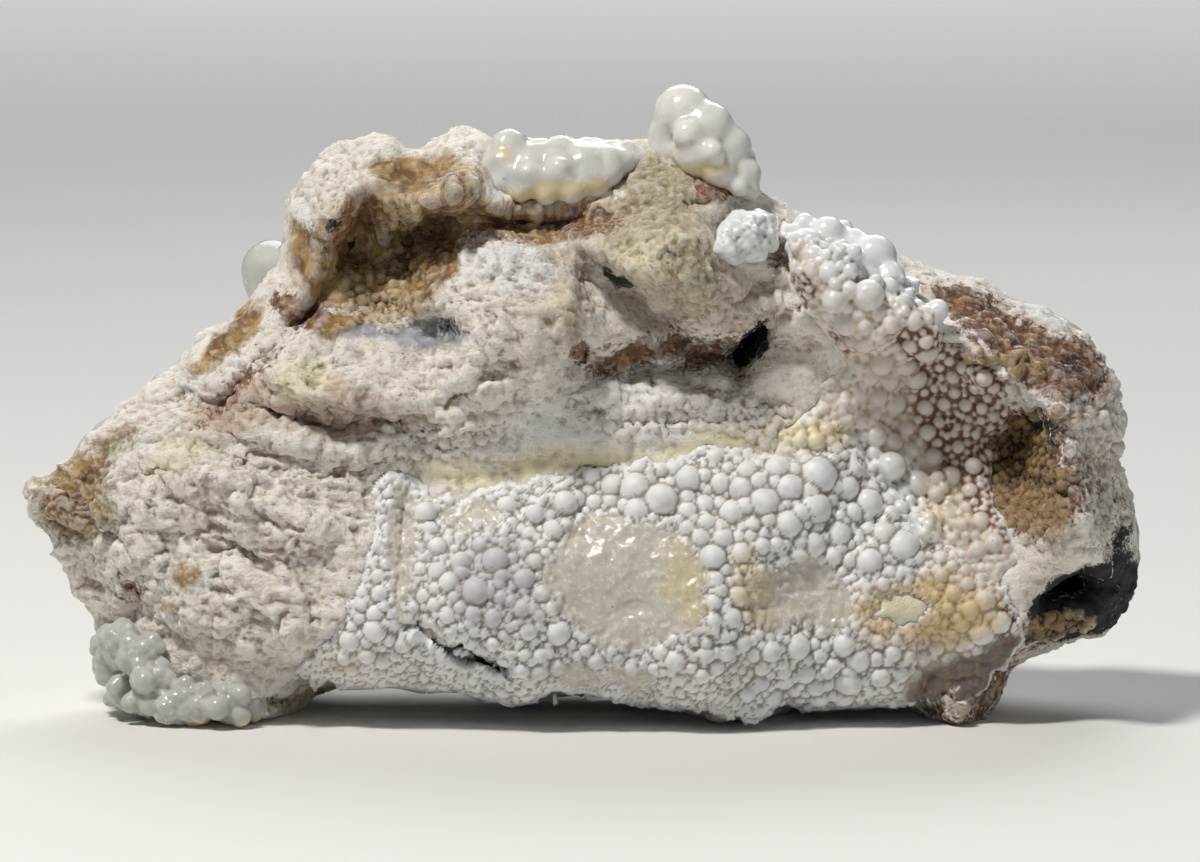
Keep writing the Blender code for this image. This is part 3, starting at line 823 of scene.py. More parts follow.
# breaks the surface into chips, bedding, crags and glassy lumps, by region
def weathered(points, quads):
    normals = softNormals(points, quads, 1)
    regions, facing = regionWeights(points, normals, rockRegions, 13)
    covered = smoothBetween(coverOf(points), -0.3 * mm, 0.5 * mm) * facing
    tilt = math.radians(weather["bedTilt"])
    bedded = np.column_stack([
        (points[:, 0] * math.cos(tilt) - points[:, 2] * math.sin(tilt)) * 0.2,
        points[:, 1] * 0.6,
        points[:, 2] * math.cos(tilt) + points[:, 0] * math.sin(tilt),
    ])
    bending = [softNoise(points, weather["bendLength"], 5 + k) for k in range(3)]
    bent = points + weather["bend"] * np.column_stack(bending)
    _, _, tone, plane = cellNoise(bent, weather["chipLength"], 29)
    _, _, smallTone, smallPlane = cellNoise(bent, weather["smallChipLength"], 37)
    near, _, _, _ = cellNoise(bent, weather["lumpLength"], 43)
    chips = weather["chips"] * (tone - 0.5 + 0.9 * plane)
    smallChips = weather["smallChips"] * (smallTone - 0.5 + 0.9 * smallPlane)
    beds = weather["beds"] * ridgedNoise(bedded, weather["bedLength"], 23, 3, 0.6)
    crags = weather["crags"] * ridgedNoise(points, weather["cragLength"], 21, 4, 0.55)
    upright = np.column_stack([points[:, 0], points[:, 1], points[:, 2] * 0.35])
    drips = weather["drips"] * ridgedNoise(upright, weather["dripLength"], 47, 3, 0.5)
    drips *= smoothBetween(points[:, 2], weather["dripsFrom"], weather["dripsFull"])
    rough = np.clip(regions["chalk"] + 0.8 * (1 - facing) + 0.6 * regions["scabby"], 0, 1)
    plain = np.clip(1 - regions["glassy"] * 0.75, 0, 1)
    rise = rough * (chips + beds) * plain + crags * (0.35 + 0.65 * plain)
    rise += smallChips * np.clip(rough + 1.2 * regions["sugar"] + 0.35 * facing, 0, 1.2) * plain
    rise += regions["sugar"] * weather["sugar"] * ridgedNoise(points, weather["sugarLength"], 41, 2)
    rise += regions["glassy"] * (weather["glassyLumps"] * (0.5 - near) + 0.5 * drips)
    rise += regions["scabby"] * weather["scabs"] * (0.45 - near)
    rise *= smoothBetween(points[:, 2], 0.1 * mm, 1.5 * mm)
    rise = rise * (1 - 0.85 * covered) - weather["underCrust"] * covered
    moved = points + normals * rise[:, None]
    moved[:, 2] = np.maximum(moved[:, 2], 0)
    moved[points[:, 2] < 0.05 * mm, 2] = 0
    return moved, regions


rawNormals = softNormals(stonePoints, stoneQuads, 2)
frontFaces = rawNormals[stoneQuads, 1].mean(axis=1) < 0.1
frontFaces &= coverOf(stonePoints[stoneQuads].mean(axis=1)) < 0.8 * mm
finePoints, fineQuads = refined(stonePoints, stoneQuads, frontFaces)
stoneFine, stoneRegions = weathered(finePoints, fineQuads)

# grape-like growths that sit straight on the stone
stonePearls = {
    "brownPocket": {
        "spots": [(1012, 462, 36, 46, 0, 1.2), (1040, 500, 20, 26, 0, 1.0)],
        "radiusPx": 4.6,
    },
    "shelfBeads": {
        "spots": [(680, 402, 92, 13, 0, 1.2), (740, 412, 60, 12, 0, 1.0)],
        "radiusPx": 5.0,
    },
    "bandBeads": {
        "spots": [(985, 360, 34, 14, 14, 1.0), (1062, 402, 44, 9, 12, 0.9), (1055, 612, 34, 14, 0, 1.1),
                  (1118, 410, 16, 44, 0, 0.9), (1020, 350, 20, 8, 20, 0.8)],
        "radiusPx": 6.0,
    },
    "hollowBeads": {
        "spots": [(398, 206, 24, 18, 0, 0.9), (390, 296, 50, 14, 4, 1.0), (340, 176, 40, 14, -30, 0.7),
                  (396, 262, 22, 22, 0, 0.8)],
        "radiusPx": 4.4,
    },
    "middleBeads": {
        "spots": [(470, 420, 46, 14, -14, 0.9), (404, 440, 28, 20, 0, 1.0), (610, 398, 40, 10, 0, 0.7)],
        "radiusPx": 5.0,
    },
}


def pearled(points, quads, random):
    normals = softNormals(points, quads, 2)
    tree = placeTree(points)
    px, py = wanderingPixels(*pixelsOf(points[:, 0], points[:, 2]), 19)
    lift = np.zeros(len(points))
    for growth in stonePearls.values():
        strength = patches(px, py, growth["spots"]) + 0.3 * softNoise(points, 1.2 * mm, 53)
        chosen = (normals[:, 1] < 0.0) & (strength > 0.42)
        radius = np.full(len(points), growth["radiusPx"] * layout["pixel"])
        domes = packedDomes(tree, points, normals, radius, chosen, 0.95, random)
        lift = np.maximum(lift, liftOverDomes(tree, points, normals, domes, 0.1))
    return points + normals * lift[:, None], lift


stoneFine, pearlLift = pearled(stoneFine, fineQuads, np.random.default_rng(5))

# stains, some of them painted shade in hollows: x, y, half widths, tilt, strength
stoneStains = {
    "honey": [(350, 244, 60, 64, 0, 1.0), (412, 236, 30, 70, 4, 1.0), (330, 296, 36, 30, 0, 0.6),
              (215, 340, 60, 14, -42, 0.7), (62, 500, 56, 40, 10, 0.7), (960, 672, 60, 30, 0, 0.8),
              (452, 166, 40, 34, 0, 0.75), (515, 212, 96, 24, -8, 1.4), (446, 216, 26, 50, 10, 1.3),
              (940, 350, 70, 20, 30, 0.5), (1030, 470, 60, 70, 0, 0.6), (600, 300, 30, 30, 0, 0.4),
              (182, 555, 22, 20, 0, 0.8), (160, 592, 16, 12, 0, 0.6), (232, 318, 40, 14, -42, 0.5),
              (120, 430, 54, 13, -34, 0.6), (580, 344, 13, 9, 0, 1.0), (75, 470, 40, 10, -20, 0.5),
              (310, 690, 200, 10, 0, 0.6), (230, 714, 90, 8, 0, 0.9), (386, 246, 40, 60, 0, 0.8),
              (404, 166, 40, 16, 10, 0.6), (300, 236, 14, 30, 0, 0.5), (530, 300, 40, 22, -30, 0.35)],
    "yellow": [(600, 446, 200, 30, -6, 0.75), (600, 450, 180, 14, -6, 0.4), (660, 566, 50, 56, 0, 0.6),
               (404, 520, 18, 66, 6, 0.3), (780, 560, 40, 50, 20, 0.9), (790, 425, 50, 20, -10, 1.0),
               (560, 292, 26, 34, 0, 0.6), (308, 360, 36, 24, 0, 0.8), (900, 590, 50, 26, 0, 0.9),
               (480, 190, 60, 16, -4, 0.9), (570, 188, 50, 12, -6, 0.8), (240, 480, 60, 30, 0, 0.3),
               (650, 240, 60, 40, 0, 0.6), (180, 440, 50, 14, -30, 0.6)],
    "glass": [(622, 562, 80, 64, 0, 1.0), (404, 520, 20, 76, 6, 0.9), (810, 580, 50, 40, 20, 0.8),
              (546, 330, 22, 40, 0, 0.6), (580, 656, 50, 16, 0, 0.8), (456, 150, 40, 20, 0, 0.4)],
    # rust stains; the patch at (580, 206) under the summit ledge is painted ledge shadow
    "rustAndLedgeShade": [(56, 482, 40, 22, 10, 0.45), (258, 352, 44, 16, -38, 0.6), (222, 392, 44, 13, -36, 0.55),
             (122, 582, 26, 22, 0, 0.65), (58, 512, 40, 26, 20, 0.55), (430, 240, 14, 46, 8, 0.6),
             (322, 300, 30, 16, 0, 0.6), (1110, 470, 26, 60, 0, 0.25), (990, 650, 50, 30, 0, 0.7),
             (668, 262, 50, 12, 40, 0.4), (580, 206, 50, 14, -10, 1.1), (440, 220, 12, 30, 6, 0.7),
             (700, 344, 104, 32, -6, 0.75), (712, 185, 24, 14, 0, 1.3), (290, 300, 26, 20, 0, 0.9),
             (960, 706, 70, 44, 0, 0.7), (786, 232, 14, 28, 0, 0.8), (806, 290, 18, 18, 0, 0.9),
             (960, 300, 44, 12, 26, 0.9), (1010, 330, 84, 30, 26, 1.0), (1072, 364, 46, 34, 30, 1.1),
             (960, 352, 40, 12, 14, 0.8), (1024, 456, 52, 64, 0, 1.3), (1084, 470, 16, 64, 0, 0.2),
             (1112, 520, 20, 50, 0, 0.3), (1056, 612, 46, 22, 0, 0.95), (640, 352, 50, 12, -6, 0.9),
             (712, 374, 50, 9, 0, 0.6), (580, 344, 12, 8, 0, 0.8), (415, 378, 26, 10, 0, 0.4),
             (580, 720, 240, 12, 0, 0.5)],
    # near-black: partly dark stains, partly painted shade in the dark cavity, slot, crevice, niche, fissure
    # and recesses
    "sootAndHollowShade": [(692, 350, 104, 24, -8, 0.55), (756, 338, 16, 36, 22, 1.05), (1080, 356, 30, 22, 0, 0.4),
             (1000, 322, 100, 34, 26, 0.5), (52, 490, 50, 36, 10, 0.45), (960, 714, 60, 34, 0, 0.5),
             (1036, 436, 28, 50, 0, 1.1), (1092, 594, 58, 40, 0, 2.4), (1036, 300, 30, 9, 24, 0.25),
             (1010, 640, 40, 16, -20, 0.5), (1128, 500, 14, 60, 0, 0.3), (470, 214, 40, 8, -8, 0.5),
             (1122, 566, 18, 52, 0, 0.5), (448, 316, 22, 14, 0, 0.7), (325, 210, 20, 8, -10, 0.8),
             (690, 246, 26, 16, 20, 0.5), (424, 424, 16, 6, -30, 0.6), (618, 268, 30, 7, 46, 0.9),
             (852, 214, 14, 6, 0, 0.8), (1095, 528, 30, 10, 0, 0.5), (462, 632, 62, 5, 24, 0.9),
             (275, 690, 26, 10, 0, 0.7), (450, 290, 26, 5, -20, 0.6), (360, 410, 60, 5, 8, 0.4)],
    "blush": [(330, 392, 110, 40, 8, 1.0), (560, 270, 50, 40, 0, 0.6), (1090, 450, 34, 54, 0, 0.6),
              (740, 304, 50, 22, 0, 0.8), (190, 470, 90, 40, 10, 0.5), (250, 560, 60, 60, 0, 0.4),
              (216, 400, 60, 30, -30, 0.6)],
    "olive": [(684, 246, 46, 24, 30, 0.9), (325, 352, 40, 22, 0, 0.4), (620, 232, 40, 24, 20, 0.3),
              (66, 496, 60, 50, 20, 0.9), (240, 330, 60, 16, -40, 0.5), (120, 440, 60, 14, -34, 0.6),
              (800, 424, 30, 14, 0, 0.3), (330, 440, 60, 16, 10, 0.5), (120, 620, 30, 20, 0, 0.4)],
    "lilac": [(700, 380, 90, 14, 0, 0.6), (380, 314, 70, 14, 4, 0.9), (436, 322, 30, 12, 0, 1.0),
              (345, 268, 20, 20, 0, 0.4), (1000, 690, 40, 24, 0, 0.4)],
    "frost": [(600, 414, 170, 40, -8, 0.8), (520, 310, 90, 90, 20, 0.4), (680, 368, 90, 18, -4, 0.6),
              (396, 256, 10, 40, 8, 0.45), (590, 536, 34, 24, 0, 0.7), (640, 610, 50, 16, 0, 0.7),
              (1020, 290, 110, 8, 24, 1.2), (300, 200, 14, 30, 0, 0.7), (500, 250, 50, 30, 0, 0.7),
              (550, 178, 80, 8, 0, 1.2), (985, 330, 30, 6, 28, 1.0), (1050, 392, 46, 8, 6, 1.0),
              (350, 296, 50, 7, 10, 0.7), (318, 232, 7, 34, 10, 0.5), (366, 226, 6, 40, 6, 0.45),
              (660, 562, 30, 20, 0, 0.4)],
}


def stoneMasks(points, quads, regions, pearl):
    normals = softNormals(points, quads, 1)
    masks, facing = regionWeights(points, normals, stoneStains, 17)
    # the strongest patches, the cavity's painted shade among them, are made darker still
    masks["sootAndHollowShade"] *= 1 + 0.4 * masks["sootAndHollowShade"] ** 6
    masks["honey"] += (1 - facing) * smoothBetween(roughNoise(points, 6 * mm, 61, 3), 0.05, 0.6) * 0.8
    masks["rustAndLedgeShade"] += (1 - facing) * smoothBetween(roughNoise(points, 7 * mm, 67, 3), 0.1, 0.7) * 0.7
    fine, broad = sunkenness(points, quads, 3), sunkenness(points, quads, 14)
    # painted shade: small and broad hollows darkened towards the shadow colour
    masks["crannyShade"] = 0.55 * smoothBetween(fine, 0.0, 0.07 * mm)
    masks["crannyShade"] += 0.6 * smoothBetween(broad, 0.02 * mm, 0.3 * mm)
    # painted highlight: tops that bulge out are made lighter
    masks["crownHighlight"] = smoothBetween(-fine, 0.01 * mm, 0.08 * mm)
    masks["pearl"] = smoothBetween(pearl, 0.03 * mm, 0.14 * mm) * smoothBetween(-fine, -0.03 * mm, 0.03 * mm)
    masks.update(regions)
    return masks


stoneColours = {
    "chalk": (0.86, 0.81, 0.72), "cream": (0.92, 0.89, 0.83), "drab": (0.60, 0.53, 0.40),
    "blush": (0.58, 0.44, 0.35), "honey": (0.47, 0.31, 0.11), "amber": (0.20, 0.09, 0.025),
    "yellow": (0.88, 0.80, 0.56), "glass": (0.74, 0.71, 0.60), "rustAndLedgeShade": (0.24, 0.11, 0.05),
    "umber": (0.09, 0.045, 0.025), "sootAndHollowShade": (0.020, 0.016, 0.013), "olive": (0.34, 0.31, 0.18),
    "lilac": (0.40, 0.41, 0.45), "frost": (0.90, 0.89, 0.86), "pearl": (0.86, 0.82, 0.74),
    "sand": (0.45, 0.365, 0.22), "nut": (0.36, 0.24, 0.10), "syrup": (0.58, 0.46, 0.26),
    "shadow": (0.18, 0.11, 0.055), "orange": (0.46, 0.25, 0.09),
}


def chalcedonyMaterial():
    look = stoneColours
    material, tree, shader = newMaterial("chalcedony")
    ground = eased(tree, grain(tree, 1.6 * mm, 6.0, 0.7), 0.38, 0.62)
    ground = mixed(tree, ground, look["chalk"], look["cream"])
    blotch = eased(tree, grain(tree, 1.0 * mm, 6.0, 0.78), 0.51, 0.66, 0.0, 0.8)
    base = mixed(tree, blotch, ground, look["drab"])
    streaks = grain(tree, 0.8 * mm, 6.0, 0.7, (0.16, 0.5, 1.0), 8)
    base = mixed(tree, eased(tree, streaks, 0.52, 0.66, 0.0, 0.6), base, look["blush"])
    base = mixed(tree, maths(tree, "MULTIPLY", mask(tree, "sugar"), 0.92), base, look["sand"])
    base = mixed(tree, brokenMask(tree, "blush", 0.7 * mm, 1.2, 0.35, 0.9), base, look["blush"])
    base = mixed(tree, brokenMask(tree, "yellow", 1.1 * mm, 0.7, 0.25, 0.8), base, look["yellow"])
    base = mixed(tree, brokenMask(tree, "glass", 1.3 * mm, 0.7, 0.25, 0.8), base, look["glass"])
    base = mixed(tree, brokenMask(tree, "olive", 0.5 * mm, 1.2, 0.4, 0.9), base, look["olive"])
    base = mixed(tree, brokenMask(tree, "lilac", 0.9 * mm, 0.7, 0.25, 0.85), base, look["lilac"])
    deep = mixed(tree, eased(tree, grain(tree, 1.5 * mm, 5.0), 0.38, 0.62), look["honey"], look["amber"])
    base = mixed(tree, brokenMask(tree, "honey", 1.0 * mm, 0.8, 0.3, 0.8), base, deep)
    earth = mixed(tree, eased(tree, grain(tree, 0.5 * mm, 5.0, 0.7), 0.42, 0.58), look["rustAndLedgeShade"], look["umber"])
    earth = mixed(tree, eased(tree, grain(tree, 0.9 * mm, 5.0, 0.7), 0.50, 0.62), earth, look["orange"])
    # rust brown: iron stains, and painted shadow under the summit ledge
    base = mixed(tree, brokenMask(tree, "rustAndLedgeShade", 0.6 * mm, 2.0, 0.45, 0.75), base, earth)
    base = mixed(tree, brokenMask(tree, "frost", 0.35 * mm, 1.3, 0.45, 0.8), base, look["frost"])
    specks = eased(tree, grain(tree, 0.42 * mm, 3.0, 0.6), 0.68, 0.74, 0.0, 0.85)
    base = mixed(tree, specks, base, look["umber"])
    sparkle = eased(tree, crumbs(tree, 0.32 * mm), 0.24, 0.12, 0.0, 0.5)
    base = mixed(tree, maths(tree, "MULTIPLY", sparkle, mask(tree, "glassy")), base, look["frost"])
    # painted shade laid into the hollows
    base = mixed(tree, maths(tree, "MULTIPLY", mask(tree, "crannyShade"), 0.62), base, look["shadow"])
    # painted highlight: bulging tops lightened with the frost colour
    base = mixed(tree, maths(tree, "MULTIPLY", mask(tree, "crownHighlight"), 0.35), base, look["frost"])
    # near-black: dark stains, and painted shade in the cavity, slot and crevices
    base = mixed(tree, brokenMask(tree, "sootAndHollowShade", 0.3 * mm, 1.2, 0.5, 0.85), base, look["sootAndHollowShade"])
    bead = mixed(tree, brokenMask(tree, "honey", 0.8 * mm, 0.8, 0.3, 0.9), look["pearl"], look["syrup"])
    bead = mixed(tree, brokenMask(tree, "rustAndLedgeShade", 0.6 * mm, 1.0, 0.2, 0.8), bead, look["nut"])
    base = mixed(tree, maths(tree, "MULTIPLY", mask(tree, "pearl"), 0.9), base, bead)
    tree.links.new(base, shader.inputs["Base Color"])
    gloss = maths(tree, "MAXIMUM", mask(tree, "glassy"), maths(tree, "MULTIPLY", mask(tree, "pearl"), 0.8))
    uneven = maths(tree, "MULTIPLY_ADD", grain(tree, 0.4 * mm, 3.0), 0.5, -0.25)
    gloss = maths(tree, "ADD", gloss, uneven)
    tree.links.new(eased(tree, gloss, 0.1, 0.9, 0.75, 0.20), shader.inputs["Roughness"])
    crumbly = bumped(tree, crumbs(tree, 0.22 * mm), 0.5, 0.10 * mm)
    fine = bumped(tree, grain(tree, 0.16 * mm, 4.0, 0.7), 0.7, 0.10 * mm, crumbly)
    fibres = bumped(tree, grain(tree, 0.5 * mm, 6.0, 0.7, (0.2, 0.6, 1.0), 8), 0.6, 0.22 * mm, fine)
    coarse = bumped(tree, grain(tree, 0.7 * mm, 6.0, 0.7), 0.6, 0.28 * mm, fibres)
    tree.links.new(coarse, shader.inputs["Normal"])
    shader.inputs["IOR"].default_value = 1.54
    return material


stone = pieceFrom(
    "chalcedonyStone", stoneFine, fineQuads, chalcedonyMaterial(),
    stoneMasks(stoneFine, fineQuads, stoneRegions, pearlLift),
)
settle(thinned(stone, stoneForm["mostTriangles"]), "chalcedony_matrix")

# the milky crusts on the front
crustForm = {
    "step": 0.15 * mm, "ballStep": 0.3 * mm, "voxel": 0.13 * mm,
    "sink": 0.6 * mm, "skin": 0.36 * mm, "edgeSkin": 0.10 * mm, "edgeReach": 1.0 * mm, "curl": 0.16 * mm,
    "smoothSpots": [(872, 250, 22, 20, 0, 1.0)],
    "tightness": 0.76, "rise": -0.28, "clearedAt": 0.3 * mm,
    "paneRelief": 0.10 * mm, "paneLength": 1.1 * mm, "dust": 0.02 * mm, "dustLength": 0.4 * mm,
}
# radius of the domes in pixels, more or less of it by place
domeSizes = {
    "plain": 10.0, "edgeFade": 2.2 * mm, "smallestShare": 0.45, "windowShrink": 0.7,
    "spots": [(900, 430, 80, 90, -30, -0.5), (760, 470, 130, 30, -4, 3.0), (560, 480, 100, 20, -6, 0.5),
              (960, 400, 50, 60, 0, -2.0), (850, 500, 60, 60, 0, 3.0), (1000, 530, 40, 60, 0, -3.0),
              (560, 670, 260, 24, 0, -2.0), (340, 650, 40, 30, 0, -3.0), (420, 640, 60, 30, 0, -2.5),
              (820, 640, 60, 40, 0, 2.0), (880, 590, 70, 40, 0, -4.0), (720, 660, 40, 40, 0, -3.0),
              (740, 226, 40, 30, 0, -4.5), (846, 262, 80, 40, 30, 2.5), (920, 330, 60, 30, 30, 0.5)],
}
crustStains = {
    "tan": [(880, 330, 90, 60, 30, 0.9), (800, 260, 30, 40, 0, 0.8), (950, 400, 80, 80, 0, 1.2),
            (990, 500, 50, 80, 0, 1.3), (915, 592, 90, 40, 0, 1.2), (350, 640, 60, 40, 0, 0.5),
            (700, 640, 40, 30, 0, 0.3), (940, 660, 60, 30, 0, 0.5), (840, 380, 50, 50, 0, 0.9)],
    "brown": [(965, 395, 60, 70, -10, 1.0), (1000, 460, 36, 70, 0, 1.2), (800, 280, 20, 24, 0, 0.9),
              (930, 336, 60, 18, 30, 0.9), (830, 330, 34, 18, 20, 0.6), (1010, 600, 26, 50, 0, 0.7)],
    "yellow": [(860, 350, 60, 30, 30, 0.5), (810, 420, 60, 24, 0, 0.9), (925, 592, 84, 34, 0, 1.3),
               (686, 570, 26, 54, 0, 0.8), (750, 570, 30, 50, 0, 0.8), (320, 650, 40, 30, 0, 0.6),
               (940, 500, 40, 50, 0, 0.6), (720, 690, 60, 14, 0, 0.5), (400, 660, 60, 20, 0, 0.3)],
    "grey": [(500, 560, 60, 60, 0, 1.0), (590, 650, 70, 20, 0, 0.7), (870, 250, 40, 26, 0, 0.6),
             (950, 690, 50, 20, 0, 0.7), (580, 480, 60, 20, 0, 0.4), (880, 420, 60, 60, 0, 0.5)],
    "smoke": [(960, 676, 66, 42, 0, 1.3), (1006, 636, 22, 34, 0, 0.9)],
    "wet": [(960, 676, 66, 42, 0, 0.8), (860, 280, 120, 80, 30, 1.0), (900, 430, 90, 100, 0, 0.9),
            (740, 226, 40, 30, 0, 0.6)],
}


def crustMasks(points, quads, name):
    px, py = wanderingPixels(*pixelsOf(points[:, 0], points[:, 2]), 83)
    masks = {stain: patches(px, py, spots) for stain, spots in crustStains.items()}
    sunk = sunkenness(points, quads, 3)
    # painted shade: the dips between domes
    masks["crevice"] = smoothBetween(sunk, 0.0, 0.045 * mm)
    masks["ground"] = smoothBetween(sunk, -0.02 * mm, 0.02 * mm)
    window = sampled(frontMap, "window", points[:, 0], points[:, 2])
    masks["glass"] = smoothBetween(window, -1.5 * mm, 0.9 * mm)
    masks["edge"] = 1 - smoothStep(sampled(frontMap, name, points[:, 0], points[:, 2]) / (0.5 * mm))
    return masks


# a level grid laid on the stone, its border points drawn onto the crust's outline
def crustGround(name, step):
    corners = metreOutline(crustOutlines[name])
    low, high = corners.min(axis=0) - 2 * mm, corners.max(axis=0) + 2 * mm
    across, up = np.arange(low[0], high[0], step), np.arange(low[1], high[1], step)
    x, z = (axis.ravel() for axis in np.meshgrid(across, up))
    cover = sampled(frontMap, name, x, z)
    reach = 0.4 * mm
    slopeX = (sampled(frontMap, name, x + reach, z) - sampled(frontMap, name, x - reach, z)) / (2 * reach)
    slopeZ = (sampled(frontMap, name, x, z + reach) - sampled(frontMap, name, x, z - reach)) / (2 * reach)
    shift = np.where(cover < step, cover, 0)
    index = np.arange(len(x)).reshape(len(up), len(across))
    quads = np.column_stack([index[:-1, :-1].ravel(), index[:-1, 1:].ravel(), index[1:, 1:].ravel(),
                             index[1:, :-1].ravel()])
    points, normals = frontPlace(frontMap, x - slopeX * shift, np.maximum(z - slopeZ * shift, 0.3 * mm))
    return points, normals, quads, cover


def crustSkin(points, cover, seed):
    form = crustForm
    inward = smoothStep(cover / form["edgeReach"])
    curl = form["curl"] * (1 - smoothStep(cover / (0.45 * mm)))
    skin = form["edgeSkin"] + (form["skin"] - form["edgeSkin"]) * inward + curl
    return skin + 0.22 * mm * roughNoise(points, 2.6 * mm, seed, 2)


def domeRadius(points, name):
    px, py = wanderingPixels(*pixelsOf(points[:, 0], points[:, 2]), 107)
    x, z = points[:, 0], points[:, 2]
    smallest = domeSizes["smallestShare"]
    fading = smallest + (1 - smallest) * smoothStep(sampled(frontMap, name, x, z) / domeSizes["edgeFade"])
    window = smoothBetween(sampled(frontMap, "window", x, z), -1.6 * mm, 0.5 * mm)
    fading *= 1 - domeSizes["windowShrink"] * window
    patchy = (1 + 0.3 * softNoise(points, 3.5 * mm, 109)) * fading
    return (domeSizes["plain"] + patches(px, py, domeSizes["spots"])) * layout["pixel"] * patchy


def makeLowerField():
    form = crustForm
    random = np.random.default_rng(101)
    points, normals, quads, cover = crustGround("lowerField", form["step"])
    raised = points + normals * crustSkin(points, cover, 103)[:, None]
    tree = placeTree(raised)
    window = sampled(frontMap, "window", points[:, 0], points[:, 2])
    ragged = 0.5 * mm * softNoise(points, 1.2 * mm, 127)
    chosen = (cover > 0.35 * mm) & (window + ragged < form["clearedAt"])
    sizes = domeRadius(points, "lowerField")
    domes = packedDomes(tree, raised, normals, sizes, chosen, form["tightness"], random)
    print("lower field", len(domes), "domes")
    lift = liftOverDomes(tree, raised, normals, domes, form["rise"])
    pane = form["paneRelief"] * ridgedNoise(points, form["paneLength"], 129, 3)
    lift += smoothBetween(window, -0.2 * mm, 0.6 * mm) * pane
    total = np.einsum("ij,ij->i", raised - points, normals) + lift
    total += form["dust"] * softNoise(points, form["dustLength"], 113)
    return shellOver(points, quads, normals, cover > 0, total, form["sink"])


# larger lumps of the shoulder and the white knobs: x, y and radius in pixels, how proud they stand
shoulderLumps = [
    (804, 238, 20, 0.1), (826, 228, 18, 0.2), (812, 262, 17, 0.1), (838, 252, 20, 0.2), (834, 274, 16, 0.0),
    (852, 236, 16, 0.1), (870, 252, 24, 0.2), (886, 268, 17, 0.1), (864, 280, 15, 0.0), (842, 224, 12, 0.3),
    (802, 218, 12, 0.3), (898, 300, 15, 0.1), (918, 312, 23, 0.3), (934, 298, 12, 0.1), (884, 308, 15, 0.0),
    (872, 320, 12, 0.0), (904, 332, 14, 0.1), (986, 362, 15, 0.5), (972, 356, 11, 0.4), (998, 372, 10, 0.4),
    (1002, 354, 9, 0.4), (860, 352, 14, 0.0), (880, 345, 12, 0.0), (842, 400, 18, 0.0), (866, 420, 18, 0.0),
    (880, 460, 16, 0.0), (922, 520, 18, 0.1), (960, 520, 14, 0.1), (940, 480, 14, 0.1),
]
knobLumps = [
    (728, 222, 15, 0.2), (748, 216, 14, 0.3), (762, 228, 13, 0.3), (740, 238, 12, 0.1), (722, 236, 10, 0.1),
    (756, 240, 10, 0.2), (766, 214, 10, 0.2), (742, 227, 17, 0.1),
    (736, 212, 12, 0.2), (760, 216, 12, 0.2),
]
ballCrusts = {
    "valley": {"lumps": shoulderLumps, "tightness": 0.95, "rise": 0.0, "smallShare": 0.95, "seed": 131},
    "whiteLumps": {"lumps": knobLumps, "tightness": 0.85, "rise": -0.1, "smallShare": 0.9, "seed": 151},
}


# rows of pixels become balls that sit on the stone's front
def lumpsOnFront(lumps):
    rows = np.array(lumps, float)
    place, normals = frontPlace(frontMap, *toPlane(rows[:, 0], rows[:, 1]))
    radius = rows[:, 2] * layout["pixel"]
    centre = place + normals * (radius * rows[:, 3])[:, None]
    return np.column_stack([centre, radius]).tolist()


def makeBallCrust(name, lumps, tightness, rise, smallShare, seed):
    form = crustForm
    random = np.random.default_rng(seed)
    points, normals, quads, cover = crustGround(name, form["ballStep"])
    shell = shellOver(points, quads, normals, cover > 0, crustSkin(points, cover, seed + 1), form["sink"])
    body, bodyQuads = fusedBalls(lumpsOnFront(lumps), 0.24 * mm, 1, shell)
    bodyNormals = softNormals(body, bodyQuads, 2)
    px, py = pixelsOf(body[:, 0], body[:, 2])
    outer = (bodyNormals[:, 1] < -0.1) & (sampled(frontMap, name, body[:, 0], body[:, 2]) > 0.4 * mm)
    outer &= patches(px, py, form["smoothSpots"]) < 0.5
    sizes = domeRadius(body, name) * smallShare
    domes = packedDomes(placeTree(body), body, bodyNormals, sizes, outer, tightness, random)
    print(name, len(domes), "domes")
    balls = [(*(place + direction * r * rise), r) for place, direction, r in domes]
    return fusedBalls(balls, form["voxel"], 1, (body, bodyQuads))


crustColours = {
    "white": (0.83, 0.832, 0.83), "cloud": (0.66, 0.662, 0.67), "shade": (0.28, 0.235, 0.18),
    "tan": (0.50, 0.34, 0.16), "brown": (0.17, 0.08, 0.035), "yellow": (0.80, 0.69, 0.42),
    "grey": (0.60, 0.59, 0.61), "speck": (0.12, 0.09, 0.06), "glass": (0.60, 0.565, 0.49),
    "butter": (0.64, 0.55, 0.33), "smoke": (0.20, 0.17, 0.15),
}


